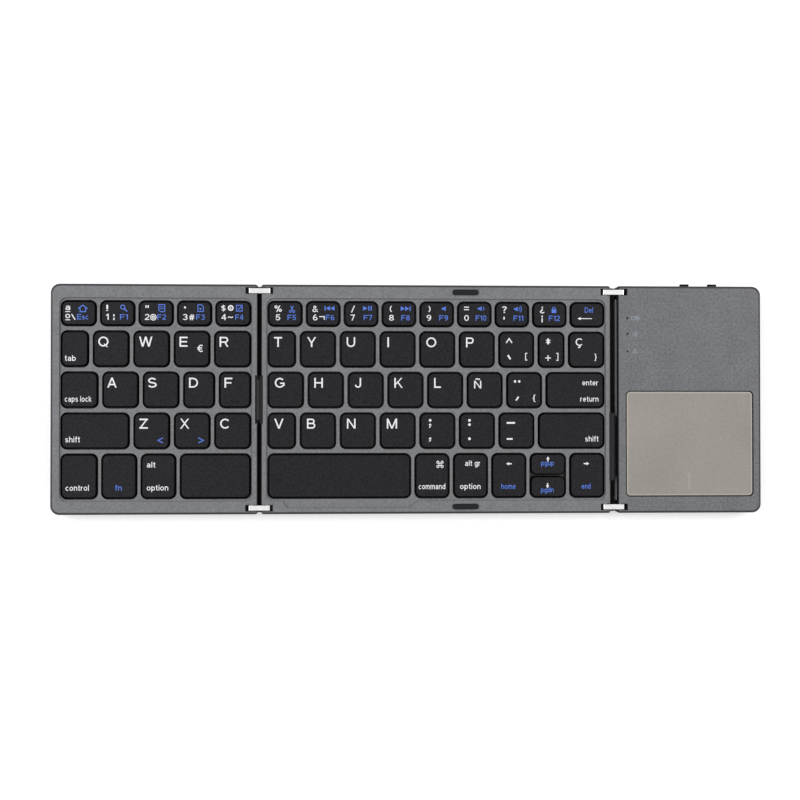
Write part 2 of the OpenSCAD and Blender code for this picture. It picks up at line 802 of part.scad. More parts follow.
module feet(places) {
  color("#1d1d1f")
    for (p = places)
      translate([p.x, p.y, 0]) cylinder(r = foot_r, h = foot_h + foot_seat);
}

module foot_seats(places) {
  for (p = places)
    translate([p.x, p.y, floor_z - past]) cylinder(r = foot_r + touch, h = past + foot_seat);
}

module posts(places, top) {
  post_r = 1.4;
  for (p = places) translate([p.x, p.y, inside_z - touch]) cylinder(r = post_r, h = top - inside_z + touch);
}

module magnets(x, under) {
  color("#9a9c9f")
    for (y = [-magnet_y, magnet_y])
      box([x - magnet_l / 2, y - magnet_w / 2, under - magnet_h], [x + magnet_l / 2, y + magnet_w / 2, under]);
}

// ---------- shells ----------

module cover_shell(x0, x1, r_left, r_right) {
  difference() {
    union() {
      difference() {
        slab(x0, x1, r_left, r_right, floor_z, seam_z - seam_gap, base_round, 0);
        inner_plan(x0, x1, wall_t, inside_z, seam_z + past);
      }
      difference() {
        inner_plan(x0, x1, wall_t + touch, inside_z - touch, lip_z);
        inner_plan(x0, x1, wall_t + touch + lip_t, inside_z - 2 * touch, lip_z + past);
        // the lip stands on the floor, and the wall outside it stays whole
        box([x0, front_y, 0], [x1, rear_y, inside_z - touch / 2]);
      }
      difference() {
        inner_plan(x0, x1, wall_t - free, inside_z - free, seam_z - seam_gap);
        inner_plan(x0, x1, wall_t + free, inside_z - 2 * free, seam_z + past);
      }
    }
  }
}

module frame_shell(x0, x1, r_left, r_right, under) {
  difference() {
    slab(x0, x1, r_left, r_right, seam_z, body_h, 0, rim_round);
    inner_plan(x0, x1, wall_t, seam_z - past, under);
  }
}

// ---------- left panel ----------

module left_top_frame() {
  color("#828486")
    difference() {
      union() {
        frame_shell(left_x0, left_x1, corner_r, fold_corner_r, deck_under);
        hinge_blocks(left_x1, -1, left_fold[4]);
        deck_ribs(left_field);
        bosses(left_screw_x, deck_under);
      }
      hinge_pockets(left_x1, -1, left_fold[4]);
      fold_groove(left_x1, -1);
      cover_room(left_x1, -1, left_cover_y, left_cover_l, cover_notch);
      field_recess(left_field);
      for (k = all_left()) key_opening(k);
      boss_holes(left_screw_x);
    }
}

module left_bottom_cover() {
  mid_x = (left_field[0] + left_field[1]) / 2;
  color("#77797b")
    difference() {
      union() {
        cover_shell(left_x0, left_x1, corner_r, fold_corner_r);
        posts([for (x = [-1, 0, 1], y = [-1, 1]) [mid_x + x * 32, y * 26]], plate_low);
      }
      block_room(left_x1, -1, left_fold[4]);
      cover_room(left_x1, -1, left_cover_y, left_cover_l, cover_notch);
      screw_holes(left_screw_x);
      foot_seats(left_feet_at);
    }
}

module left_support_plate() {
  color("#a9abad") key_plate(left_field, plate_low, plate_z);
}

module left_membrane() {
  color("#c9ccc4") key_plate(left_field, plate_z, membrane_z);
}

module left_domes() {
  color("#d5d6d2")
    for (k = all_left()) dome(k);
}

module left_scissors() {
  color("#e4e4e0") scissors(all_left());
}

module left_screws() {
  screws(left_screw_x);
}

module left_feet() {
  feet(left_feet_at);
}

module left_magnets() {
  magnets(left_magnet_x, deck_under);
}

module left_number_keys() {
  key_caps(left_keys(0), 0, 4);
}

module left_tab_key() {
  key_caps(left_keys(1), 0, 0);
}

module left_upper_keys() {
  key_caps(left_keys(1), 1, 4);
}

module left_caps_key() {
  key_caps(left_keys(2), 0, 0);
}

module left_home_keys() {
  key_caps(left_keys(2), 1, 4);
}

module left_shift_key() {
  key_caps(left_keys(3), 0, 0);
}

module left_lower_keys() {
  key_caps(left_keys(3), 1, 3);
}

module left_modifier_keys() {
  key_caps(left_keys(4), 0, 2);
}

module left_space_key() {
  key_caps(left_keys(4), 3, 3);
}

// ---------- left fold ----------

module left_hinge_links() {
  hinge_links(left_fold);
}

module left_hinge_pins() {
  hinge_pins(left_fold);
}

module left_cable_cover() {
  cable_cover(left_fold, left_cover_y, left_cover_l, left_cover_seat, cover_notch);
}

module left_flex_cable() {
  flex_cable(left_fold, left_cover_y, left_cover_l, 4, 3.9);
}

// ---------- middle panel ----------

module middle_top_frame() {
  color("#828486")
    difference() {
      union() {
        frame_shell(middle_x0, middle_x1, fold_corner_r, fold_corner_r, deck_under);
        hinge_blocks(middle_x0, 1, left_fold[3]);
        hinge_blocks(middle_x1, -1, right_fold[3]);
        deck_ribs(middle_field);
        bosses(middle_screw_x, deck_under);
      }
      hinge_pockets(middle_x0, 1, left_fold[3]);
      hinge_pockets(middle_x1, -1, right_fold[3]);
      fold_groove(middle_x0, 1);
      fold_groove(middle_x1, -1);
      cover_room(middle_x0, 1, left_cover_y, left_cover_l, left_cover_seat + free);
      cover_room(middle_x1, -1, right_cover_y, right_cover_l, right_cover_seat + free);
      field_recess(middle_field);
      thumb_recess();
      for (r = [0:4], k = middle_keys(r)) key_opening(k);
      boss_holes(middle_screw_x);
      for (y = [-bumper_y, bumper_y]) bumper(y, touch, body_h - bumper_seat, body_h + past);
    }
}

module middle_bottom_cover() {
  mid_x = (middle_field[0] + middle_field[1]) / 2;
  color("#77797b")
    difference() {
      union() {
        cover_shell(middle_x0, middle_x1, fold_corner_r, fold_corner_r);
        posts([for (x = [-1.5:1.5], y = [-1, 1]) [mid_x + x * 38, y * 26]], plate_low);
        fold_lip(left_fold);
        fold_lip(right_fold);
      }
      block_room(middle_x0, 1, left_fold[3]);
      block_room(middle_x1, -1, right_fold[3]);
      cover_room(middle_x0, 1, left_cover_y, left_cover_l, left_cover_seat + free);
      cover_room(middle_x1, -1, right_cover_y, right_cover_l, right_cover_seat + free);
      screw_holes(middle_screw_x);
      foot_seats(middle_feet_at);
    }
}

module middle_support_plate() {
  color("#a9abad") key_plate(middle_field, plate_low, plate_z);
}

module middle_membrane() {
  color("#c9ccc4") key_plate(middle_field, plate_z, membrane_z);
}

module middle_domes() {
  color("#d5d6d2")
    for (k = all_middle()) dome(k);
}

module middle_scissors() {
  color("#e4e4e0") scissors(all_middle());
}

module middle_screws() {
  screws(middle_screw_x);
}

module middle_feet() {
  feet(middle_feet_at);
}

module middle_magnets() {
  magnets(folded_left - left_magnet_x, deck_under);
  magnets(folded_right - right_magnet_x, deck_under);
}

// One stadium-shaped pad, or its seat when grown
module bumper(y, grow, z0, z1) {
  r = bumper_w / 2 + grow;
  rounded_box(
    [bumper_x - bumper_l / 2 - grow, y - r, z0],
    [bumper_x + bumper_l / 2 + grow, y + r, z1],
    r - touch / 10
  );
}

module bumper_pads() {
  color("#1e2127")
    for (y = [-bumper_y, bumper_y]) bumper(y, 0, body_h - bumper_seat, body_h + closed_gap - bumper_clearance);
}

module middle_number_keys() {
  key_caps(middle_keys(0), 0, 7);
}

module backspace_key() {
  key_caps(middle_keys(0), 8, 8);
}

module middle_upper_keys() {
  key_caps(middle_keys(1), 0, 8);
}

module middle_home_keys() {
  key_caps(middle_keys(2), 0, 6);
}

module enter_key() {
  key_caps(middle_keys(2), 7, 7);
}

module middle_lower_keys() {
  key_caps(middle_keys(3), 0, 6);
}

module right_shift_key() {
  key_caps(middle_keys(3), 7, 7);
}

module middle_space_key() {
  key_caps(middle_keys(4), 0, 0);
}

module middle_modifier_keys() {
  key_caps(middle_keys(4), 1, 2);
}

module arrow_keys() {
  key_caps(split_middle(4), 3, 6);
}

// ---------- right fold ----------

module right_hinge_links() {
  hinge_links(right_fold);
}

module right_hinge_pins() {
  hinge_pins(right_fold);
}

module right_cable_cover() {
  cable_cover(right_fold, right_cover_y, right_cover_l, right_cover_seat, 0);
}

module right_flex_cable() {
  flex_cable(right_fold, right_cover_y, right_cover_l, 4, 3.2);
}

// ---------- touchpad panel ----------

// Slot of the power knob, over its whole travel, and hole of the pairing button
module rear_openings() {
  z0 = knob_z - knob_h / 2 - free;
  z1 = knob_z + knob_h / 2 + free;
  y0 = rear_y - wall_t - lip_t - 2 * free;
  box([knob_mid - knob_w / 2 - free, y0, z0], [knob_mid + knob_w / 2 + knob_travel + free, rear_y + past, z1]);
  box([button_mid - knob_w / 2 - free, y0, z0], [button_mid + knob_w / 2 + free, rear_y + past, z1]);
  box([socket_mid - socket_w / 2 - free, y0, board_z - free],
    [socket_mid + socket_w / 2 + free, rear_y + past, board_z + socket_h + free]);
}

// Room inside the lip for the flanges behind the knob and the button
module flange_room() {
  side = 1.2;
  box([knob_mid - knob_w / 2 - side, rear_y - wall_t - lip_t - 2 * free, board_z],
    [button_mid + knob_w / 2 + side, rear_y - wall_t, roof_under]);
}

module pad_hook(x) {
  w = 3;
  wall = 0.8;
  difference() {
    box([x - w / 2, pad_axis_y - 0.9, sensor_low - wall], [x + w / 2, pad_axis_y + 1.3, roof_under + touch]);
    translate([x - w / 2 - past, pad_axis_y, pad_axis_z])
      rotate([0, 90, 0]) cylinder(r = board_t / 2 + 2 * touch, h = w + 2 * past);
    box([x - w / 2 - past, pad_axis_y - 2, pad_axis_z - board_t / 2 - touch],
      [x + w / 2 + past, pad_axis_y, pad_axis_z + board_t / 2 + touch]);
  }
}

module right_top_cover() {
  color("#7b7b7c")
    difference() {
      union() {
        frame_shell(right_x0, right_x1, fold_corner_r, corner_r, roof_under);
        hinge_blocks(right_x0, 1, right_fold[4]);
        bosses(right_screw_x, roof_under);
        for (x = pad_hooks) pad_hook(x);
      }
      hinge_pockets(right_x0, 1, right_fold[4]);
      fold_groove(right_x0, 1);
      cable_window(right_x0, 1, right_cover_y, right_cover_l);
      rounded_box([pad_x0, pad_y0, roof_under - past], [pad_x1, pad_y1, body_h + past], pad_r);
      for (y = light_y)
        translate([light_x, y, roof_under - past]) cylinder(r = light_r + touch / 2, h = roof_t + 2 * past);
      rear_openings();
      boss_holes(right_screw_x);
    }
}

click_x = (pad_x0 + pad_x1) / 2;
click_y = pad_y0 + 6;
click_seat = 4.2;
board_posts = [[board_x0 + 2, 31], [board_x0 + 3, 20], [board_x0 + 20, 31], [board_x1 - 3, 31]];

module right_bottom_cover() {
  color("#77797b")
    difference() {
      union() {
        cover_shell(right_x0, right_x1, fold_corner_r, corner_r);
        posts(board_posts, board_low);
        posts([[click_x, click_y]], click_seat);
      }
      block_room(right_x0, 1, right_fold[4]);
      cable_window(right_x0, 1, right_cover_y, right_cover_l);
      rear_openings();
      flange_room();
      screw_holes(right_screw_x);
      foot_seats(right_feet_at);
    }
}

module right_screws() {
  screws(right_screw_x);
}

module right_feet() {
  feet(right_feet_at);
}

module right_magnets() {
  magnets(right_magnet_x, roof_under);
}

module main_board() {
  chip = 7;
  color("#1f5a3a")
    difference() {
      union() {
        translate([0, 0, board_low])
          linear_extrude(board_t)
            polygon([
              [board_x0, board_arm_y], [board_x0 + 5, board_arm_y], [board_x0 + 5, board_y0],
              [board_x1, board_y0], [board_x1, board_y1], [board_x0 + 3.8, board_y1],
              [board_x0 + 3.8, rear_y - block_d - 0.5], [board_x0, rear_y - block_d - 0.5]
            ]);
        for (y = light_y)
          box([light_x - 0.8, y - 0.5, board_z - touch], [light_x + 0.8, y + 0.5, board_z + 0.4]);
        box([board_x1 - 16, board_y0 + 3, board_z - touch], [board_x1 - 16 + chip, board_y0 + 3 + chip, board_z + 1]);
        box([board_x0 + 12, board_y0 + 4, board_z - touch], [board_x0 + 17, board_y0 + 8, board_z + 1]);
      }
      for (x = right_screw_x) translate([x, screw_y, 0]) cylinder(r = boss_r + 0.3, h = body_h);
    }
}

module battery() {
  mid = (right_x0 + right_x1) / 2 + 1.5;
  y1 = board_y0 - 2.5;
  color("#c4c7ca")
    rounded_box([mid - battery_w / 2, y1 - battery_d, inside_z], [mid + battery_w / 2, y1, inside_z + battery_h], 1.5);
}

module charging_socket() {
  skin = 0.3;
  y0 = rear_y - 5.8;
  y1 = rear_y - free;
  tongue_w = socket_w - 2.6;
  color("#c9cbce") {
    difference() {
      rounded_box([socket_mid - socket_w / 2, y0, board_z], [socket_mid + socket_w / 2, y1, board_z + socket_h], 0.2);
      box([socket_mid - socket_w / 2 + skin, y0 + 1, board_z + skin],
        [socket_mid + socket_w / 2 - skin, y1 + past, board_z + socket_h - skin]);
    }
    box([socket_mid - tongue_w / 2, y0 + 1 - touch, board_z + socket_h / 2 - 0.35],
      [socket_mid + tongue_w / 2, y1 - 1.2, board_z + socket_h / 2 + 0.35]);
  }
}

switch_y1 = rear_y - 3;
switch_y0 = switch_y1 - 3;
tab_w = 1;

module board_switches() {
  color("#2a2c30") {
    // slide switch, with a slot for the knob's tab
    difference() {
      box([knob_mid - 3.5, switch_y0, board_z], [knob_mid + 3.5 + knob_travel, switch_y1, knob_z + knob_h / 2]);
      box([knob_mid - tab_w / 2 - free, switch_y0 + 0.8, knob_z - 0.4],
        [knob_mid + tab_w / 2 + knob_travel + free, switch_y1 + past, body_h]);
    }
    // push switch behind the pairing button
    box([button_mid - 2.2, switch_y0, board_z], [button_mid + 2.2, switch_y1 - 0.4, knob_z + knob_h / 2]);
    // click switch under the touchpad
    box([click_x - 3, click_y - 3, click_seat], [click_x + 3, click_y + 3, sensor_low - click_gap - 0.4]);
    translate([click_x, click_y, click_seat]) cylinder(r = 1.5, h = sensor_low - click_gap - click_seat);
  }
}

module touchpad_plate() {
  color("#99938e")
    rounded_box(
      [pad_x0 + pad_clearance, pad_y0 + pad_clearance, pad_low],
      [pad_x1 - pad_clearance, pad_y1 - pad_clearance, pad_z],
      pad_r - pad_clearance
    );
}

// Sensor board. Its rear edge is round and turns in the cover's two hooks.
module touchpad_sensor() {
  x0 = pad_x0 - sensor_rim;
  x1 = pad_x1 + sensor_rim;
  neck = 2.5;
  color("#22402f") {
    box([x0, pad_y0 - sensor_rim, sensor_low], [x1, pad_y1 + 0.4, pad_low]);
    for (x = pad_hooks) {
      box([x - neck, pad_y1, sensor_low], [x + neck, pad_axis_y, pad_low]);
      translate([x - neck, pad_axis_y, pad_axis_z]) rotate([0, 90, 0]) cylinder(r = board_t / 2, h = 2 * neck);
    }
  }
}

module flanged_grip(x, flange) {
  wall_in = rear_y - wall_t;
  box([x - knob_w / 2, wall_in - free - 0.4, knob_z - knob_h / 2], [x + knob_w / 2, rear_y + knob_proud, knob_z + knob_h / 2]);
  box([x - knob_w / 2 - flange, wall_in - free - 0.6, knob_z - knob_h / 2 - 0.3],
    [x + knob_w / 2 + flange, wall_in - free, knob_z + knob_h / 2 + 0.3]);
}

module power_knob() {
  color("#17181b") {
    flanged_grip(knob_mid, 0.7);
    box([knob_mid - tab_w / 2, switch_y0 + 1, knob_z - 0.2], [knob_mid + tab_w / 2, rear_y - wall_t - free - 0.3, knob_z + 0.4]);
  }
}

module pairing_button() {
  color("#17181b") flanged_grip(button_mid, 0.7);
}

module indicator_light_pipes() {
  color("#3c3d42")
    for (y = light_y)
      translate([light_x, y, board_z + 0.5]) cylinder(r = light_r, h = body_h - touch - board_z - 0.5);
}

left_top_frame();
left_bottom_cover();
left_support_plate();
left_membrane();
left_domes();
left_scissors();
left_screws();
left_feet();
left_magnets();
left_number_keys();
left_tab_key();
left_upper_keys();
left_caps_key();
left_home_keys();
left_shift_key();
left_lower_keys();
left_modifier_keys();
left_space_key();
left_hinge_links();
left_hinge_pins();
left_cable_cover();
left_flex_cable();
middle_top_frame();
middle_bottom_cover();
middle_support_plate();
middle_membrane();
middle_domes();
middle_scissors();
middle_screws();
middle_feet();
middle_magnets();
bumper_pads();
middle_number_keys();
backspace_key();
middle_upper_keys();
middle_home_keys();
enter_key();
middle_lower_keys();
right_shift_key();
middle_space_key();
middle_modifier_keys();
arrow_keys();
right_hinge_links();
right_hinge_pins();
right_cable_cover();
right_flex_cable();
right_top_cover();
right_bottom_cover();
right_screws();
right_feet();
right_magnets();
main_board();
battery();
charging_socket();
board_switches();
touchpad_plate();
touchpad_sensor();
power_knob();
pairing_button();
indicator_light_pipes();
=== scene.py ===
import math

import bmesh
import bpy
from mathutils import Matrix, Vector


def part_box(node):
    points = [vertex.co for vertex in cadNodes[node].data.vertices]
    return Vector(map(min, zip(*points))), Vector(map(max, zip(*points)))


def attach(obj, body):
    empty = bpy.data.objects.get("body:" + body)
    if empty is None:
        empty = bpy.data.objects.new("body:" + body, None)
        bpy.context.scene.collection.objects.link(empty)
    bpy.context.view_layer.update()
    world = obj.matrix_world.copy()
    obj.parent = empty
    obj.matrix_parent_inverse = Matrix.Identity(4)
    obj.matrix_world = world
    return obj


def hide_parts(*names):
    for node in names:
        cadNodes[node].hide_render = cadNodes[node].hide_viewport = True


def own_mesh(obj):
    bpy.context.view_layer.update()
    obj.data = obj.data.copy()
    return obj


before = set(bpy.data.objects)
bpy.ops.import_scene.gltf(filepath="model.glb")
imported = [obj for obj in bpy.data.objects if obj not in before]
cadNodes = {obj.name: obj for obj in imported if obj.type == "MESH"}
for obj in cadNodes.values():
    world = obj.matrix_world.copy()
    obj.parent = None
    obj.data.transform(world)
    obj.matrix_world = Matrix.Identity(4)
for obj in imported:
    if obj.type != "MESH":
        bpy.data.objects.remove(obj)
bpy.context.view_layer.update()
mm = 0.001
print("keyboard frame loaded,", len(cadNodes), "CAD pieces")


# Camera: almost straight above the desk
cameraSetup = {
    "place": (-20.8, -4.5, 450),  # mm
    "lean": (0.0095, -0.0373, 0.0),  # radians
    "lens": 46.54,  # mm, on a sensor 36 mm wide
    "sensor": 36,
    "nearest": 10,  # mm
}

cameraData = bpy.data.cameras.new("deskCamera")
cameraData.lens = cameraSetup["lens"]
cameraData.sensor_width = cameraSetup["sensor"]
cameraData.clip_start = cameraSetup["nearest"] * mm
deskCamera = bpy.data.objects.new("deskCamera", cameraData)
deskCamera.location = Vector(cameraSetup["place"]) * mm
deskCamera.rotation_euler = cameraSetup["lean"]
bpy.context.scene.collection.objects.link(deskCamera)
bpy.context.scene.camera = deskCamera
bpy.context.scene.view_settings.view_transform = "Standard"
print("camera set")


# Helpers for colours, nodes and meshes
def linearColour(hexCode):
    channels = [int(hexCode[i:i + 2], 16) / 255 for i in (1, 3, 5)]
    return tuple(c / 12.92 if c <= 0.04045 else ((c + 0.055) / 1.055) ** 2.4 for c in channels) + (1.0,)


def addNode(tree, kind, settings, links):
    # settings are properties or input values of the node, or the "stops" of a colour ramp (place and
    # colour); links are the sockets that lead into it
    node = tree.nodes.new("ShaderNode" + kind)
    for key, value in settings.items():
        if key == "stops":
            for element, (position, hexCode) in zip(node.color_ramp.elements, value):
                element.position = position
                element.color = linearColour(hexCode)
        elif isinstance(key, int) or (key in node.inputs and not hasattr(node, key)):
            node.inputs[key].default_value = value
        else:
            setattr(node, key, value)
    for key, source in links.items():
        tree.links.new(source, node.inputs[key])
    return node


def perMetre(sizeInMm):
    # noise scale whose grain is about that many millimetres wide. Real paint, mould and brush grain is
    # a tenth of a millimetre or less, too fine to show at this size, so each look's is drawn coarser.
    return 1 / (sizeInMm * mm)


def startMaterial(name):
    # the material, its node tree, the surface shader and the coordinates
    material = bpy.data.materials.new(name)
    material.use_nodes = True
    tree = material.node_tree
    return material, tree, tree.nodes["Principled BSDF"], addNode(tree, "TexCoord", {}, {})


def setSurface(tree, shader, colour, relief, look, swing, bump, depth):
    # colour, and the relief's share in roughness (down and up by swing) and in bumps depth mm high
    tree.links.new(colour, shader.inputs["Base Color"])
    down, up = swing
    shade = addNode(tree, "MapRange", {"To Min": look["roughness"] - down, "To Max": look["roughness"] + up},
                    {"Value": relief})
    tree.links.new(shade.outputs[0], shader.inputs["Roughness"])
    bumps = addNode(tree, "Bump", {"Strength": bump, "Distance": depth * mm}, {"Height": relief})
    tree.links.new(bumps.outputs[0], shader.inputs["Normal"])
    for key, socket in (("ior", "IOR"), ("gloss", "Specular IOR Level"), ("metallic", "Metallic")):
        if key in look:
            shader.inputs[socket].default_value = look[key]


def dress(node, material):
    mesh = cadNodes[node].data
    mesh.materials.clear()
    mesh.materials.append(material)


def linkObject(name, data):
    made = bpy.data.objects.new(name, data)
    bpy.context.scene.collection.objects.link(made)
    return made


def pieceFrom(name, shape, materials, body, smooth=True):
    mesh = bpy.data.meshes.new(name)
    for face in shape.faces:
        face.smooth = smooth
    shape.to_mesh(mesh)
    shape.free()
    for material in materials:
        mesh.materials.append(material)
    piece = linkObject(name, mesh)
    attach(piece, body)
    return piece


# Studio: floor, world and two soft boxes
studio = {
    "floorHalf": 4.0,  # m
    "floorHex": "#f4f4f4",
    "floorLift": 0.4,  # extra white of the floor towards the camera
    "worldLevel": 0.42,
    "softBoxes": [  # place in m, width in m, power in W
        ((-1.0, 0.25, 0.95), 0.9, 8.5),
        ((1.0, 0.45, 0.95), 0.9, 8.5),
    ],
}


def seenRay(tree):
    # 1 for rays that show the background: camera, glossy and transmission rays
    ray = addNode(tree, "LightPath", {}, {})
    glossy = addNode(tree, "Math", {"operation": "MAXIMUM"},
                     {0: ray.outputs["Is Camera Ray"], 1: ray.outputs["Is Glossy Ray"]})
    seen = addNode(tree, "Math", {"operation": "MAXIMUM"},
                   {0: glossy.outputs[0], 1: ray.outputs["Is Transmission Ray"]})
    return seen.outputs[0]


def buildFloor():
    # White paper, uncoated: a plain matte that takes the soft shadow of the keyboard
    half = studio["floorHalf"]
    shape = bmesh.new()
    corners = [shape.verts.new((x * half, y * half, 0)) for x, y in ((-1, -1), (1, -1), (1, 1), (-1, 1))]
    shape.faces.new(corners)
    mesh = bpy.data.meshes.new("paperFloor")
    shape.to_mesh(mesh)
    shape.free()
    linkObject("paperFloor", mesh)

    paper = bpy.data.materials.new("paperSweep")
    paper.use_nodes = True
    tree = paper.node_tree
    tree.nodes.clear()
    matte = addNode(tree, "BsdfDiffuse", {"Color": linearColour(studio["floorHex"])}, {})
    lift = addNode(tree, "Math", {"operation": "MULTIPLY", 1: studio["floorLift"]}, {0: seenRay(tree)})
    glow = addNode(tree, "Emission", {}, {"Strength": lift.outputs[0]})
    both = addNode(tree, "AddShader", {}, {0: matte.outputs[0], 1: glow.outputs[0]})
    addNode(tree, "OutputMaterial", {}, {"Surface": both.outputs[0]})
    mesh.materials.append(paper)


def buildLights():
    world = bpy.data.worlds.new("paleRoom")
    bpy.context.scene.world = world
    world.use_nodes = True
    tree = world.node_tree
    tree.nodes.clear()
    level = addNode(tree, "Mix", {"data_type": "FLOAT", 2: studio["worldLevel"], 3: 1.0}, {0: seenRay(tree)})
    sky = addNode(tree, "Background", {"Color": (1, 1, 1, 1)}, {"Strength": level.outputs[0]})
    addNode(tree, "OutputWorld", {}, {"Surface": sky.outputs[0]})

    for number, (place, width, power) in enumerate(studio["softBoxes"]):
        lampData = bpy.data.lights.new("softBox%d" % number, "AREA")
        lampData.size = width
        lampData.energy = power
        lamp = linkObject("softBox%d" % number, lampData)
        lamp.location = place
        lamp.rotation_euler = (-Vector(place)).to_track_quat("-Z", "Y").to_euler()


buildFloor()
buildLights()
print("floor, world and soft boxes set")


# Places on the casing, in mm
leftKeyNodes = ["left_number_keys", "left_tab_key", "left_upper_keys", "left_caps_key", "left_home_keys",
                "left_shift_key", "left_lower_keys", "left_modifier_keys", "left_space_key"]
middleKeyNodes = ["middle_number_keys", "backspace_key", "middle_upper_keys", "middle_home_keys", "enter_key",
                  "middle_lower_keys", "right_shift_key", "middle_space_key", "middle_modifier_keys",
                  "arrow_keys"]
touchpadShape = {"corner": 1.6, "edge": 0.3, "tickX": 120.7, "tickY": (-38.95, -31.55), "tickWidth": 0.5}
casingEdge = {
    "corner": 4.2,
    "width": 1.1,  # of the band of painted shade along the outline
    "reach": 8,  # past a fold, whose walls have no band
    "past": 200,  # past everything, for no band at all
    # how far the ring of painted shade round the touchpad opening spreads, in mm
    "padShadeRing": 0.5,
}
# Boxes of painted shade round the key openings and in the folds, and of painted light on one fold wall, in mm
casingRooms = {
    "wellReach": 0.6,  # round the key openings
    "wellTop": 7.32,  # just under the deck
    "wall": 0.25,  # as deep as a fold's painted shade goes into the panels
    "farWall": 0.62,  # the same in the wide fold's far panel
    "litFoot": 0.9,  # height where the painted light on the wall begins
    "litWall": (-0.05, 0.6),
    "depth": (-60, 60),  # more than the panels' depth
    "height": (0, 20),
}


def boxMm(node):
    return [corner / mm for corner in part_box(node)]


def keyWells(nodes):
    # box of painted shade round the key openings of one panel, down from just under the deck
    lows, highs = zip(*(boxMm(node) for node in nodes))
    reach = casingRooms["wellReach"]
    return (min(v.x for v in lows) - reach, max(v.x for v in highs) + reach,
            min(v.y for v in lows) - reach, max(v.y for v in highs) + reach, 0, casingRooms["wellTop"])


def foldRoom(nearNode, farNode, farWall):
    # box of painted shade in the gap between two panels and a little of their walls
    near, far = boxMm(nearNode)[1].x - casingRooms["wall"], boxMm(farNode)[0].x + farWall
    return (near, far, *casingRooms["depth"], *casingRooms["height"])


def lowerWall(node):
    # box round the fold wall of the touchpad panel's bottom cover, where it gets a painted light
    low, high = boxMm(node)
    start, end = casingRooms["litWall"]
    return (low.x + start, low.x + end, *casingRooms["depth"], low.z + casingRooms["litFoot"], high.z)


def casingOutline(node, leftReach, rightReach):
    low, high = boxMm(node)
    return (low.x - leftReach, high.x + rightReach, low.y, high.y, casingEdge["corner"])


def padOutline(spread):
    # outline of the touchpad plate, spread outward
    low, high = boxMm("touchpad_plate")
    return (low.x - spread, high.x + spread, low.y - spread, high.y + spread,
            touchpadShape["corner"] + spread)


# Materials
def insideBox(tree, spot, limits):
    # 1 where the object coordinate lies in the box (x0, x1, y0, y1, z0, z1), in mm
    inside = None
    for number, limit in enumerate(limits):
        test = addNode(tree, "Math", {"operation": ("GREATER_THAN", "LESS_THAN")[number % 2], 1: limit * mm},
                       {0: spot.outputs["XYZ"[number // 2]]})
        if inside:
            test = addNode(tree, "Math", {"operation": "MULTIPLY"},
                           {0: inside.outputs[0], 1: test.outputs[0]})
        inside = test
    return inside


def outlineReach(tree, place, outline):
    # distance from the corner centres of a rounded outline (x0, x1, y0, y1, corner radius), in mm; it
    # equals the radius all along the outline
    x0, x1, y0, y1, radius = (limit * mm for limit in outline)
    reach = place.outputs["Object"]
    for operation, value in (("SUBTRACT", ((x0 + x1) / 2, (y0 + y1) / 2, 0)), ("MULTIPLY", (1, 1, 0)),
                             ("ABSOLUTE", None),
                             ("SUBTRACT", ((x1 - x0) / 2 - radius, (y1 - y0) / 2 - radius, 0)),
                             ("MAXIMUM", (0, 0, 0))):
        settings = {"operation": operation} if value is None else {"operation": operation, 1: value}
        reach = addNode(tree, "VectorMath", settings, {0: reach}).outputs[0]
    return addNode(tree, "VectorMath", {"operation": "LENGTH"}, {0: reach}).outputs["Value"]


def edgeBand(tree, place, outline, width):
    # 1 in a narrow band inside a rounded outline, width in mm
    radius = outline[4]
    return addNode(tree, "MapRange",
                   {"From Min": (radius - width) * mm, "From Max": (radius - width * 0.75) * mm},
                   {"Value": outlineReach(tree, place, outline)})


def clouded(tree, place, grain, look):
    # the look's colours, spread by its grain and by wider, fainter clouds
    cloud = addNode(tree, "TexNoise", {"Scale": perMetre(look["cloud"]), "Detail": 1.0},
                    {"Vector": place.outputs["Object"]})
    blend = addNode(tree, "Mix", {"data_type": "FLOAT", 0: look["cloudShare"]},
                    {2: grain, 3: cloud.outputs["Fac"]})
    stops = ((0.34, look["dark"]), (0.66, look["light"]))
    return addNode(tree, "ValToRGB", {"stops": stops}, {"Fac": blend.outputs[0]}).outputs["Color"]


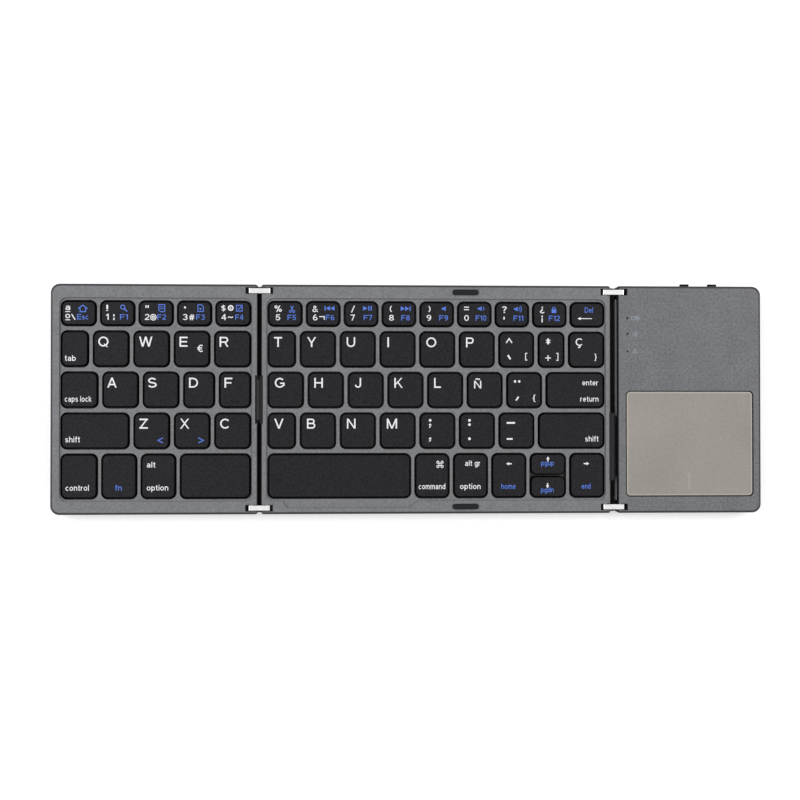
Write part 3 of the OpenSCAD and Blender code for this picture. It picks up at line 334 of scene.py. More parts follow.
def sprayedCasing(name, look, outline, patches, opening=None):
    # Soft-feel grey paint sprayed on black ABS: an even satin grey with a fine pebbled grain. The turned-down
    # edge, a band along the outline and a ring round an opening get a darker colour, a painted shade. Each
    # patch
    # is a box in mm and its colour there: near-black painted shade in the key openings and the folds, or pale
    # grey painted light on the foot of the wall in the wide fold.
    material, tree, shader, place = startMaterial(name)
    grain = addNode(tree, "TexNoise", {"Scale": perMetre(look["grain"]), "Detail": 4.0, "Roughness": 0.7},
                    {"Vector": place.outputs["Object"]}).outputs["Fac"]
    flat = clouded(tree, place, grain, look)
    # painted shade: the colour goes to the side colour where the surface turns down and in a band along the
    # outline
    facing = addNode(tree, "SeparateXYZ", {}, {"Vector": place.outputs["Normal"]})
    turned = addNode(tree, "MapRange", {"From Min": 0.95, "From Max": 0.6}, {"Value": facing.outputs["Z"]})
    shadeBand = edgeBand(tree, place, outline, casingEdge["width"])
    edge = addNode(tree, "Math", {"operation": "MAXIMUM"}, {0: turned.outputs[0], 1: shadeBand.outputs[0]})
    # painted shade: a ring round the touchpad opening
    if opening:
        ring = addNode(tree, "Math", {"operation": "LESS_THAN", 1: opening[4] * mm},
                       {0: outlineReach(tree, place, opening)})
        edge = addNode(tree, "Math", {"operation": "MAXIMUM"}, {0: edge.outputs[0], 1: ring.outputs[0]})
    colour = addNode(tree, "Mix", {"data_type": "RGBA", 7: linearColour(look["side"])},
                     {0: edge.outputs[0], 6: flat})
    spot = addNode(tree, "SeparateXYZ", {}, {"Vector": place.outputs["Object"]})
    # patches of painted shade and painted light
    for limits, shown in patches:
        colour = addNode(tree, "Mix", {"data_type": "RGBA", 7: linearColour(look[shown])},
                         {0: insideBox(tree, spot, limits).outputs[0], 6: colour.outputs[2]})
    setSurface(tree, shader, colour.outputs[2], grain, look, swing=(0.05, 0.05), bump=0.35,
               depth=look["depth"])
    return material


def moulded(name, look):
    # Moulded plastic or rubber: one colour through the piece, with a spark-eroded grain from the mould
    # and a faint cloudiness
    material, tree, shader, place = startMaterial(name)
    grain = addNode(tree, "TexNoise", {"Scale": perMetre(look["grain"]), "Detail": 4.0},
                    {"Vector": place.outputs["Object"]}).outputs["Fac"]
    stops = ((0.35, look["dark"]), (0.65, look["light"]))
    colour = addNode(tree, "ValToRGB", {"stops": stops}, {"Fac": grain}).outputs["Color"]
    look = dict({"ior": 1.5, "gloss": 0.5}, **look)
    setSurface(tree, shader, colour, grain, look, swing=(0.06, 0.06), bump=0.3, depth=0.02)
    return material


def rolledMetal(name, look):
    # Rolled, ground or plated metal: fine streaks along one axis, a little darker where it dulled
    material, tree, shader, place = startMaterial(name)
    stretch = addNode(tree, "Mapping", {"Scale": look["stretch"]}, {"Vector": place.outputs["Object"]})
    streak = addNode(tree, "TexNoise", {"Scale": perMetre(look["grain"]), "Detail": 3.0},
                     {"Vector": stretch.outputs[0]}).outputs["Fac"]
    stops = ((0.3, look["dark"]), (0.7, look["light"]))
    colour = addNode(tree, "ValToRGB", {"stops": stops}, {"Fac": streak}).outputs["Color"]
    look = dict(look, metallic=1.0)
    setSurface(tree, shader, colour, streak, look, swing=(0.05, 0.07), bump=0.15, depth=0.01)
    return material


def keycapAbs():
    # Black ABS caps: the top is a fine matte texture from the mould and reads dark grey; the edge and skirt
    # have less shine and are painted near black, a painted shade for the gap round each cap, so its rim reads
    # black
    look = {"dark": "#141316", "light": "#29282b", "side": "#030304", "grain": 0.7, "roughness": 0.55,
            "ior": 1.53}
    material, tree, shader, place = startMaterial("keycapBlackAbs")
    grain = addNode(tree, "TexNoise", {"Scale": perMetre(look["grain"]), "Detail": 3.0, "Roughness": 0.65},
                    {"Vector": place.outputs["Object"]}).outputs["Fac"]
    stops = ((0.36, look["dark"]), (0.64, look["light"]))
    top = addNode(tree, "ValToRGB", {"stops": stops}, {"Fac": grain})
    # painted shade: near black where the cap turns down
    facing = addNode(tree, "SeparateXYZ", {}, {"Vector": place.outputs["Normal"]})
    upward = addNode(tree, "MapRange", {"From Min": 0.9, "From Max": 0.995}, {"Value": facing.outputs["Z"]})
    colour = addNode(tree, "Mix", {"data_type": "RGBA", 6: linearColour(look["side"])},
                     {0: upward.outputs[0], 7: top.outputs["Color"]})
    setSurface(tree, shader, colour.outputs[2], grain, look, swing=(0.07, 0.07), bump=0.35, depth=0.02)
    gloss = addNode(tree, "MapRange", {"To Min": 0.02, "To Max": 0.12}, {"Value": upward.outputs[0]})
    tree.links.new(gloss.outputs[0], shader.inputs["Specular IOR Level"])
    return material


def padPrint(name, light, dark):
    # Pad-printed ink: a thin, even film, very slightly mottled where it dried
    material, tree, shader, place = startMaterial(name)
    mottle = addNode(tree, "TexNoise", {"Scale": perMetre(0.5), "Detail": 2.0},
                     {"Vector": place.outputs["Object"]})
    colour = addNode(tree, "ValToRGB", {"stops": ((0.3, dark), (0.7, light))}, {"Fac": mottle.outputs["Fac"]})
    tree.links.new(colour.outputs["Color"], shader.inputs["Base Color"])
    shader.inputs["Roughness"].default_value = 0.5
    shader.inputs["Specular IOR Level"].default_value = 0.3
    return material


def touchSurface():
    # Etched glass-filled touch surface, painted warm grey from below: a satin face with a fine sparkle
    look = {"dark": "#948d88", "light": "#a6a09a", "rim": "#b8b1a9", "highlightWidth": 0.7, "grain": 0.5,
            "cloud": 30, "cloudShare": 0.3, "roughness": 0.42, "ior": 1.5, "gloss": 0.3}
    material, tree, shader, place = startMaterial("touchSurfaceWarmGrey")
    grain = addNode(tree, "TexNoise", {"Scale": perMetre(look["grain"]), "Detail": 3.0},
                    {"Vector": place.outputs["Object"]}).outputs["Fac"]
    flat = clouded(tree, place, grain, look)
    # painted highlight: a lighter band along the plate's edge
    rim = edgeBand(tree, place, padOutline(0), look["highlightWidth"])
    colour = addNode(tree, "Mix", {"data_type": "RGBA", 7: linearColour(look["rim"])},
                     {0: rim.outputs[0], 6: flat})
    setSurface(tree, shader, colour.outputs[2], grain, look, swing=(0.05, 0.05), bump=0.2, depth=0.01)
    return material


def boardMask():
    # Green solder mask over copper tracks: a glossy green with slightly lighter straight runs
    material, tree, shader, place = startMaterial("boardGreenMask")
    tracks = addNode(tree, "TexBrick",
                     {"Scale": perMetre(6), "Color1": linearColour("#1d5a3a"),
                      "Color2": linearColour("#1a5235"), "Mortar": linearColour("#2d7a50"),
                      "Mortar Size": 0.03},
                     {"Vector": place.outputs["Object"]})
    tree.links.new(tracks.outputs["Color"], shader.inputs["Base Color"])
    shader.inputs["Roughness"].default_value = 0.3
    bumps = addNode(tree, "Bump", {"Strength": 0.2, "Distance": 0.03 * mm}, {"Height": tracks.outputs["Fac"]})
    tree.links.new(bumps.outputs[0], shader.inputs["Normal"])
    return material


# the side colour is painted shade on the turned-down edge; the near-black patch colour is painted shade in
# the key openings and the folds; the pale grey patch colour is painted light on the wide fold's wall
casingLook = {"dark": "#6e6f71", "light": "#8a8b8e", "side": "#3b3a40", "bare": "#08090b", "lit": "#b8b8ba",
              "grain": 0.85, "cloud": 9, "cloudShare": 0.15, "roughness": 0.5, "ior": 1.5, "gloss": 0.22,
              "depth": 0.03}
touchpadCasingLook = dict(casingLook, dark="#626365", light="#838487", grain=1.0)
underLook = dict(casingLook, dark="#5f6062", light="#707173", side="#646567")

reach, past = casingEdge["reach"], casingEdge["past"]
# painted shade in the folds, and painted light on the wide fold's lower wall
leftFold = (foldRoom("left_top_frame", "middle_top_frame", casingRooms["wall"]), "bare")
rightFold = (foldRoom("middle_top_frame", "right_top_cover", casingRooms["farWall"]), "bare")
dress("left_top_frame", sprayedCasing("leftCasingPaint", casingLook,
                                      casingOutline("left_top_frame", 0, reach),
                                      [(keyWells(leftKeyNodes), "bare"), leftFold]))
dress("middle_top_frame", sprayedCasing("middleCasingPaint", casingLook,
                                        casingOutline("middle_top_frame", reach, reach),
                                        [(keyWells(middleKeyNodes), "bare"), leftFold, rightFold]))
dress("right_top_cover", sprayedCasing("touchpadCasingPaint", touchpadCasingLook,
                                       casingOutline("right_top_cover", reach, 0), [rightFold],
                                       opening=padOutline(casingEdge["padShadeRing"])))
underCasing = sprayedCasing("underCasingPaint", underLook, casingOutline("middle_bottom_cover", past, past),
                            [leftFold, rightFold, (lowerWall("right_bottom_cover"), "lit")])
for panel in ("left", "middle", "right"):
    dress(panel + "_bottom_cover", underCasing)

keycapBlack = keycapAbs()
whiteInk = padPrint("legendWhiteInk", "#fdfdff", "#f0f2f6")
blueInk = padPrint("legendBlueInk", "#6286e6", "#5478d8")
panelInk = padPrint("panelMarkInk", "#9aa3ae", "#8e97a2")
tickInk = padPrint("touchpadTickInk", "#b3ada8", "#a9a39e")
touchWarm = touchSurface()

boardGreen = boardMask()
for node in ("main_board", "touchpad_sensor"):
    dress(node, boardGreen)

metals = {
    # die-cast zinc, polished: bright and nearly mirror-like
    "linkPolishedZinc": {"dark": "#dcdddd", "light": "#f2f2f2", "grain": 0.3, "stretch": (0.15, 1, 1),
                         "roughness": 0.2, "on": ["left_hinge_links", "right_hinge_links"]},
    # steel rod, ground: a greyer shine with rings
    "pinGroundSteel": {"dark": "#8f9194", "light": "#b9bbbd", "grain": 0.2, "stretch": (1, 0.1, 1),
                       "roughness": 0.32, "on": ["left_hinge_pins", "right_hinge_pins"]},
    # cold-rolled sheet: long faint streaks
    "plateRolledSteel": {"dark": "#9b9da0", "light": "#b4b6b8", "grain": 0.5, "stretch": (0.08, 1, 1),
                         "roughness": 0.4, "on": ["left_support_plate", "middle_support_plate"]},
    # deep-drawn shell: streaks along the draw
    "socketDrawnSteel": {"dark": "#a2a4a6", "light": "#c6c8ca", "grain": 0.3, "stretch": (1, 0.2, 1),
                         "roughness": 0.3, "on": ["charging_socket"]},
    # nickel plate on a pressed magnet: even and silky
    "magnetNickelPlate": {"dark": "#a7a8a8", "light": "#c9c9c8", "grain": 0.4, "stretch": (1, 1, 1),
                          "roughness": 0.25, "on": ["left_magnets", "middle_magnets", "right_magnets"]},
    # screw with black oxide: dark, with a dull sheen
    "screwBlackOxide": {"dark": "#1b1b1d", "light": "#343437", "grain": 0.25, "stretch": (1, 1, 1),
                        "roughness": 0.42, "on": ["left_screws", "middle_screws", "right_screws"]},
    # laminated pouch foil: soft, broad creases
    "batteryFoilWrap": {"dark": "#a5a7aa", "light": "#c4c6c8", "grain": 1.6, "stretch": (1, 1, 1),
                        "roughness": 0.38, "on": ["battery"]},
}
plastics = {
    # moulded silicone rubber: dull and dusty black
    "footBlackRubber": {"dark": "#141518", "light": "#1f2126", "grain": 0.4, "roughness": 0.75, "gloss": 0.2,
                        "on": ["left_feet", "middle_feet", "right_feet"]},
    "bumperBlackRubber": {"dark": "#0f1114", "light": "#191c20", "grain": 0.35, "roughness": 0.65,
                          "gloss": 0.2, "on": ["bumper_pads"]},
    # black ABS from an eroded mould: matte, hardly lit
    "coverBlackAbs": {"dark": "#17181a", "light": "#222326", "grain": 0.3, "roughness": 0.55, "gloss": 0.2,
                      "on": ["left_cable_cover", "right_cable_cover"]},
    # acetal, smooth from the mould: near black
    "switchBlackAcetal": {"dark": "#08080a", "light": "#101012", "grain": 0.25, "roughness": 0.6,
                          "gloss": 0.1, "on": ["board_switches", "power_knob", "pairing_button"]},
    # polyester film, calendered: smooth with a wide, faint sheen; its black also stands in
    # as painted shade in the gaps round the keys
    "membraneBlackPolyester": {"dark": "#131415", "light": "#1d1e20", "grain": 3.0, "roughness": 0.35,
                               "ior": 1.64, "on": ["left_membrane", "middle_membrane"]},
    # polyimide cover film over copper: smooth black
    "cableBlackCoverFilm": {"dark": "#121214", "light": "#1b1b1e", "grain": 1.5, "roughness": 0.35,
                            "ior": 1.7, "on": ["left_flex_cable", "right_flex_cable"]},
    # smoked acrylic, unlit: a black dot with little shine
    "lightSmokedAcrylic": {"dark": "#020203", "light": "#060607", "grain": 0.5, "roughness": 0.5, "ior": 1.49,
                           "gloss": 0.15, "on": ["indicator_light_pipes"]},
    # white acetal, smooth from the mould: pale, a little waxy
    "leverWhiteAcetal": {"dark": "#c9c9c5", "light": "#dbdbd7", "grain": 0.6, "roughness": 0.5,
                         "on": ["left_scissors", "middle_scissors"]},
    # clear silicone, moulded in one sheet: milky, with a soft shine
    "domeClearSilicone": {"dark": "#bcbcb7", "light": "#d2d2ce", "grain": 0.5, "roughness": 0.45, "ior": 1.41,
                          "on": ["left_domes", "middle_domes"]},
}
materials = {}
for make, looks in ((rolledMetal, metals), (moulded, plastics)):
    for name, look in looks.items():
        materials[name] = make(name, look)
        for node in look["on"]:
            dress(node, materials[name])
print("materials made and CAD pieces dressed")


# Rounded plates: key caps and the touchpad
def roundedOutline(low, high, radius, inset):
    # plan outline, anticlockwise, shrunk by inset; all in mm
    steps = 6
    r = max(radius - inset, 0.02)
    x0, x1, y0, y1 = low[0] + inset, high[0] - inset, low[1] + inset, high[1] - inset
    points = []
    corners = ((x1 - r, y1 - r, 0), (x0 + r, y1 - r, 90), (x0 + r, y0 + r, 180), (x1 - r, y0 + r, 270))
    for cx, cy, start in corners:
        for step in range(steps + 1):
            angle = math.radians(start + 90 * step / steps)
            points.append((cx + r * math.cos(angle), cy + r * math.sin(angle)))
    return points


def addPlate(shape, low, high, radius, levels):
    # levels: (inset, height) in mm, from the foot of the side up and in towards the middle of the top
    loops = []
    for inset, height in levels:
        outline = roundedOutline(low, high, radius, inset)
        loops.append([shape.verts.new((x * mm, y * mm, height * mm)) for x, y in outline])
    for below, above in zip(loops, loops[1:]):
        for i in range(len(below)):
            j = (i + 1) % len(below)
            shape.faces.new((below[i], below[j], above[j], above[i]))
    shape.faces.new(loops[-1])
    shape.faces.new(list(reversed(loops[0])))


def plateLevels(low, high, edge, dish):
    # side, quarter-round edge and a top that sinks a little towards its middle
    steps = 6
    levels = [(0, low[2]), (0, high[2] - edge - 0.05)]
    for step in range(steps + 1):
        angle = math.radians(90 * step / steps)
        levels.append((edge * (1 - math.cos(angle)), high[2] - edge * (1 - math.sin(angle))))
    half = min(high[0] - low[0], high[1] - low[1]) / 2 - edge
    for share in (0.03, 0.15, 0.35, 0.6, 0.85):
        levels.append((edge + share * half, high[2] - dish * (1 - (1 - share) ** 2)))
    return levels


def capBoxes(node):
    # box of each cap of a node in mm, ordered left to right and rear to front
    joined = bmesh.new()
    joined.from_mesh(cadNodes[node].data)
    bmesh.ops.remove_doubles(joined, verts=joined.verts, dist=1e-6)
    waiting = set(joined.verts)
    boxes = []
    while waiting:
        island, front = set(), [waiting.pop()]
        while front:
            vert = front.pop()
            island.add(vert)
            for edge in vert.link_edges:
                other = edge.other_vert(vert)
                if other in waiting:
                    waiting.discard(other)
                    front.append(other)
        low = tuple(min(v.co[i] for v in island) / mm for i in range(3))
        high = tuple(max(v.co[i] for v in island) / mm for i in range(3))
        boxes.append((low, high))
    joined.free()
    return sorted(boxes, key=lambda box: (round(box[0][0]), -box[0][1]))


keycapShape = {"corner": 2.45, "edge": 0.8, "dish": 0.08, "clearance": 0.45}  # mm
caps = {}
for node in leftKeyNodes + middleKeyNodes:
    caps[node] = capBoxes(node)
    shape = bmesh.new()
    for low, high in caps[node]:
        levels = plateLevels(low, high, keycapShape["edge"], keycapShape["dish"])
        addPlate(shape, low, high, keycapShape["corner"], levels)
    piece = pieceFrom(node + "_caps", shape, [keycapBlack], node + "_body")
    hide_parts(node)
print("key caps moulded:", sum(len(boxes) for boxes in caps.values()))


def nearestKeys(nodes, x, y):
    # the key group whose cap lies over or nearest to a place in mm
    def away(node):
        return min(max(low[0] - x, x - high[0], low[1] - y, y - high[1]) for low, high in caps[node])
    return min(nodes, key=away)


def giveWay(source, keyNodes, material, body, ending):
    cadPiece = cadNodes[source]
    owners = []
    for face in cadPiece.data.polygons:
        middle = cadPiece.matrix_world @ face.center / mm
        owners.append(nearestKeys(keyNodes, middle.x, middle.y))
    for node in keyNodes:
        shape = bmesh.new()
        shape.from_mesh(cadPiece.data)
        shape.transform(cadPiece.matrix_world)
        others = [face for face in shape.faces if owners[face.index] != node]
        bmesh.ops.delete(shape, geom=others, context="FACES")
        piece = pieceFrom(node + ending, shape, [material], body, smooth=False)
        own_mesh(piece)
        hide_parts(source)


underKeys = (("_domes", "domeClearSilicone", "dome_rubber", "_domes"),
             ("_scissors", "leverWhiteAcetal", "lever_plastic", "_levers"))
for keyNodes, side in ((leftKeyNodes, "left"), (middleKeyNodes, "middle")):
    for part, material, slot, ending in underKeys:
        giveWay(side + part, keyNodes, materials[material], side + "_panel", ending)
print("domes and levers set under the keys")


# Legends: letters, words and small pictures, each placed in mm from the left and rear edges of its opening
legendPrint = {
    "lift": 0.012,  # mm over the cap
    "layer": 0.003,  # mm between parts that cross
    "letter": 4.25,  # mm, height of a capital
    "letterBase": 7.0,
    "digit": 2.55,
    "digitBase": 8.45,
    "fKey": 2.3,
    "fKeyBase": 8.35,
    "slant": 1.07,  # width of a slanted bar, in thicknesses
    "mitre": 0.4,  # the least a corner's mitre is divided by, so that a sharp corner stays short
    "thickness": 0.138,  # this and the next two in parts of the capital height
    "letterGap": 0.13,
    "space": 0.34,
}

# Plain sans-serif glyphs in parts of the capital height, from the base line up. Each has its width
# and its parts: "bar" is a box x0, y0, x1, y1; "leg" a slanted bar with level ends, given by its left
# edge at the foot and at the head, then its two heights; "pen" a line of even thickness through
# points (x, y) and arcs (middle x, y, radius x, y, first and last angle); "ring" a closed oval.
stem = ("bar", 0, 0, 0.15, 1)
thinStem = ("bar", 0, 0, 0.14, 1)
lowStem = ("bar", 0, 0, 0.14, 0.73)
bowlY, bowlRise = 0.365, 0.29  # middle and radius of a small letter's bowl, along y
glyphs = {
    "A": (0.92, ("leg", 0, 0.38, 0, 1), ("leg", 0.76, 0.38, 0, 1), ("bar", 0.17, 0.24, 0.75, 0.38)),
    "B": (0.84, stem,
          ("pen", (0.07, 0.925), (0.48, 0.925), (0.48, 0.72, 0.22, 0.205, 90, -90), (0.07, 0.515)),
          ("pen", (0.07, 0.515), (0.53, 0.515), (0.53, 0.295, 0.235, 0.22, 90, -90), (0.07, 0.075))),
    "C": (0.9, ("pen", (0.475, 0.5, 0.4, 0.43, 42, 318))),
    "D": (0.88, stem,
          ("pen", (0.07, 0.925), (0.38, 0.925), (0.38, 0.5, 0.425, 0.425, 90, -90), (0.07, 0.075))),
    "E": (0.78, stem, ("bar", 0, 0.85, 0.78, 1), ("bar", 0, 0.43, 0.73, 0.57), ("bar", 0, 0, 0.78, 0.15)),
    "F": (0.74, stem, ("bar", 0, 0.85, 0.74, 1), ("bar", 0, 0.42, 0.66, 0.56)),
    "G": (0.94, ("pen", (0.475, 0.5, 0.4, 0.43, 42, 325)), ("bar", 0.5, 0.38, 0.93, 0.52),
          ("bar", 0.79, 0.2, 0.93, 0.5)),
    "H": (0.84, stem, ("bar", 0.69, 0, 0.84, 1), ("bar", 0, 0.43, 0.84, 0.57)),
    "I": (0.17, ("bar", 0.01, 0, 0.16, 1)),
    "J": (0.62, ("pen", (0.545, 1), (0.545, 0.3), (0.31, 0.3, 0.235, 0.225, 0, -180))),
    "K": (0.86, stem, ("leg", 0.03, 0.65, 0.32, 1), ("leg", 0.69, 0.24, 0, 0.62)),
    "L": (0.7, stem, ("bar", 0, 0, 0.7, 0.15)),
    "M": (1.0, thinStem, ("bar", 0.86, 0, 1, 1), ("leg", 0.42, 0, 0, 1), ("leg", 0.42, 0.84, 0, 1)),
    "N": (0.84, thinStem, ("bar", 0.7, 0, 0.84, 1), ("leg", 0.68, 0, 0, 1)),
    "O": (0.98, ("ring", (0.49, 0.5, 0.415, 0.43))),
    "P": (0.8, stem, ("pen", (0.07, 0.925), (0.5, 0.925), (0.5, 0.685, 0.225, 0.24, 90, -90), (0.07, 0.445))),
    "Q": (0.98, ("ring", (0.49, 0.5, 0.415, 0.43)), ("leg", 0.79, 0.5, -0.05, 0.28)),
    "R": (0.86, stem,
          ("pen", (0.07, 0.925), (0.52, 0.925), (0.52, 0.7, 0.225, 0.225, 90, -90), (0.07, 0.475)),
          ("leg", 0.69, 0.42, 0, 0.48)),
    "S": (0.84, ("pen", (0.42, 0.71, 0.3, 0.215, 22, 270), (0.42, 0.285, 0.335, 0.21, 90, -158))),
    "T": (0.8, ("bar", 0, 0.85, 0.8, 1), ("bar", 0.325, 0, 0.475, 1)),
    "U": (0.84, ("pen", (0.075, 1), (0.075, 0.4), (0.42, 0.4, 0.345, 0.325, 180, 360), (0.765, 1))),
    "V": (0.9, ("leg", 0.37, 0, 0, 1), ("leg", 0.37, 0.74, 0, 1)),
    "W": (1.3, ("leg", 0.27, 0, 0, 1), ("leg", 0.27, 0.57, 0, 1), ("leg", 0.87, 0.57, 0, 1),
          ("leg", 0.87, 1.14, 0, 1)),
    "X": (0.88, ("leg", 0, 0.7, 0, 1), ("leg", 0.72, 0.02, 0, 1)),
    "Y": (0.88, ("leg", 0.36, 0, 0.4, 1), ("leg", 0.36, 0.72, 0.4, 1), ("bar", 0.365, 0, 0.515, 0.45)),
    "Z": (0.8, ("bar", 0, 0.85, 0.8, 1), ("bar", 0, 0, 0.8, 0.15), ("leg", 0.02, 0.6, 0.1, 0.9)),
    "0": (0.66, ("ring", (0.33, 0.5, 0.255, 0.425))),
    "1": (0.42, ("bar", 0.24, 0, 0.39, 1), ("pen", (0.02, 0.74), (0.14, 0.77), (0.3, 0.93))),
    "2": (0.66, ("pen", (0.33, 0.68, 0.25, 0.245, 170, -35), (0.1, 0.13)), ("bar", 0, 0, 0.64, 0.15)),
    "3": (0.66, ("pen", (0.32, 0.72, 0.235, 0.205, 155, -90)), ("pen", (0.32, 0.29, 0.26, 0.22, 90, -155))),
    "4": (0.7, ("bar", 0.43, 0, 0.57, 1), ("bar", 0, 0.24, 0.7, 0.38), ("leg", 0, 0.4, 0.3, 1)),
    "5": (0.66, ("bar", 0.1, 0.85, 0.6, 1),
          ("pen", (0.165, 0.92), (0.11, 0.48), (0.32, 0.33, 0.26, 0.255, 130, -155))),
    "6": (0.66, ("ring", (0.33, 0.31, 0.25, 0.235)), ("pen", (0.42, 0.42, 0.345, 0.505, 80, 180))),
    "7": (0.64, ("bar", 0, 0.85, 0.64, 1), ("leg", 0.14, 0.48, 0, 0.9)),
    "8": (0.66, ("ring", (0.33, 0.72, 0.215, 0.2)), ("ring", (0.33, 0.285, 0.255, 0.21))),
    "9": (0.66, ("ring", (0.33, 0.69, 0.25, 0.235)), ("pen", (0.24, 0.58, 0.345, 0.505, -100, 0))),
    "a": (0.6, ("pen", (0.29, 0.47, 0.215, 0.185, 155, 0), (0.505, 0)),
          ("pen", (0.505, 0.42), (0.27, 0.38), (0.25, 0.225, 0.175, 0.15, 95, 270), (0.34, 0.09),
                  (0.505, 0.2))),
    "b": (0.62, thinStem, ("ring", (0.315, bowlY, 0.235, bowlRise))),
    "c": (0.58, ("pen", (0.32, bowlY, 0.245, bowlRise, 48, 312))),
    "d": (0.62, ("bar", 0.48, 0, 0.62, 1), ("ring", (0.305, bowlY, 0.235, bowlRise))),
    "e": (0.62, ("pen", (0.08, 0.37), (0.545, 0.37), (0.31, bowlY, 0.235, bowlRise, 0, 318))),
    "f": (0.36, ("pen", (0.36, 0.93), (0.28, 0.8, 0.11, 0.13, 90, 180), (0.17, 0)),
          ("bar", 0, 0.6, 0.36, 0.73)),
    "g": (0.62, ("ring", (0.305, bowlY, 0.235, bowlRise)),
          ("pen", (0.55, 0.73), (0.55, -0.02), (0.31, -0.02, 0.24, 0.18, 0, -150))),
    "h": (0.6, thinStem, ("pen", (0.3, 0.44, 0.225, 0.22, 180, 0), (0.525, 0))),
    "i": (0.16, ("bar", 0.01, 0, 0.15, 0.73), ("bar", 0.01, 0.86, 0.15, 1)),
    "k": (0.58, thinStem, ("leg", 0.04, 0.38, 0.2, 0.73), ("leg", 0.42, 0.16, 0, 0.47)),
    "l": (0.16, ("bar", 0.01, 0, 0.15, 1)),
    "m": (0.92, lowStem, ("pen", (0.265, 0.46, 0.195, 0.2, 180, 0), (0.46, 0)),
          ("pen", (0.655, 0.46, 0.195, 0.2, 180, 0), (0.85, 0))),
    "n": (0.6, lowStem, ("pen", (0.3, 0.44, 0.225, 0.22, 180, 0), (0.525, 0))),
    "o": (0.64, ("ring", (0.32, bowlY, 0.25, bowlRise))),
    "p": (0.62, ("bar", 0, -0.26, 0.14, 0.73), ("ring", (0.315, bowlY, 0.235, bowlRise))),
    "r": (0.38, lowStem, ("pen", (0.33, 0.42, 0.26, 0.24, 180, 92))),
    "s": (0.56, ("pen", (0.28, 0.515, 0.185, 0.145, 28, 270), (0.28, 0.22, 0.21, 0.15, 90, -155))),
    "t": (0.36, ("pen", (0.17, 0.93), (0.17, 0.2), (0.28, 0.2, 0.11, 0.13, 180, 270), (0.36, 0.07)),
          ("bar", 0, 0.6, 0.36, 0.73)),
    "u": (0.6, ("pen", (0.07, 0.73), (0.07, 0.3), (0.295, 0.29, 0.225, 0.22, 180, 360)),
          ("bar", 0.46, 0, 0.6, 0.73)),
    "!": (0.17, ("bar", 0.01, 0.3, 0.16, 1), ("bar", 0.01, 0, 0.16, 0.15)),
    "?": (0.56, ("pen", (0.28, 0.75, 0.2, 0.18, 170, -60), (0.28, 0.45), (0.28, 0.27)),
          ("bar", 0.2, 0, 0.36, 0.15)),
    "(": (0.3, ("pen", (0.42, 0.4, 0.35, 0.68, 118, 242))),
    ")": (0.3, ("pen", (-0.12, 0.4, 0.35, 0.68, 62, -62))),
    "$": (0.66, ("pen", (0.33, 0.66, 0.25, 0.19, 25, 270), (0.33, 0.29, 0.25, 0.18, 90, -155)),
          ("bar", 0.28, -0.1, 0.38, 1.05)),
    "#": (0.76, ("leg", 0.12, 0.24, 0, 1), ("leg", 0.4, 0.52, 0, 1), ("bar", 0.02, 0.6, 0.76, 0.72),
          ("bar", 0, 0.28, 0.74, 0.4)),
    "%": (1.0, ("ring", (0.22, 0.76, 0.15, 0.17)), ("ring", (0.78, 0.24, 0.15, 0.17)),
          ("leg", 0.24, 0.64, 0, 1)),
    "&": (0.82,
          ("pen", (0.74, 0.03), (0.24, 0.62), (0.35, 0.78, 0.15, 0.14, 190, -30), (0.2, 0.42),
                  (0.3, 0.25, 0.22, 0.19, 150, 300), (0.7, 0.45))),
    "*": (0.5, ("leg", 0.17, 0.17, 0.4, 1), ("leg", 0, 0.34, 0.55, 0.85), ("leg", 0.34, 0, 0.55, 0.85)),
    "@": (1.0, ("ring", (0.5, 0.45, 0.42, 0.45)), ("ring", (0.47, 0.45, 0.16, 0.19)),
          ("bar", 0.6, 0.26, 0.72, 0.64)),
    "~": (0.7, ("pen", (0.05, 0.3), (0.2, 0.48), (0.5, 0.32), (0.65, 0.5))),
    "{": (0.4,
          ("pen", (0.38, 1.03), (0.2, 0.95), (0.2, 0.52), (0.06, 0.4), (0.2, 0.28), (0.2, -0.15),
                  (0.38, -0.23))),
    "}": (0.4,
          ("pen", (0.02, 1.03), (0.2, 0.95), (0.2, 0.52), (0.34, 0.4), (0.2, 0.28), (0.2, -0.15),
                  (0.02, -0.23))),
}
glyphs["Ñ"] = (0.84, *glyphs["N"][1:], ("pen", (0.16, 1.16), (0.3, 1.26), (0.54, 1.16), (0.68, 1.26)))
glyphs["Ç"] = (0.9, *glyphs["C"][1:], ("pen", (0.47, 0.05), (0.55, -0.12), (0.42, -0.22), (0.3, -0.2)))
glyphs["€"] = (0.8, ("pen", (0.47, 0.5, 0.3, 0.43, 50, 310)), ("bar", 0, 0.54, 0.6, 0.65),
               ("bar", 0, 0.35, 0.6, 0.46))


def ribbon(points, thickness, closed=False):
    # quads of a line of even thickness with mitred corners
    path = []
    for point in points:
        if not path or (Vector(point) - path[-1]).length > thickness / 10:
            path.append(Vector(point))
    count = len(path)
    sides = []
    for i, point in enumerate(path):
        before = path[i - 1] if i > 0 or closed else None
        after = path[(i + 1) % count] if i < count - 1 or closed else None
        steps = ((point - before) if before else None, (after - point) if after else None)
        normals = [Vector((-step.y, step.x)).normalized() for step in steps if step]
        miter = sum(normals, Vector((0, 0))).normalized()
        reach = thickness / 2 / max(miter.dot(normals[0]), legendPrint["mitre"])
        sides.append((point + miter * reach, point - miter * reach))
    pairs = zip(sides, sides[1:] + sides[:1]) if closed else zip(sides, sides[1:])
    return [[a, b, d, c] for (a, b), (c, d) in pairs]


def ovalArc(x, y, radiusX, radiusY, start, end, steps=None):
    steps = steps or max(4, int(abs(end - start) / 20))
    angles = [math.radians(start + (end - start) * i / steps) for i in range(steps + 1)]
    return [(x + radiusX * math.cos(angle), y + radiusY * math.sin(angle)) for angle in angles]


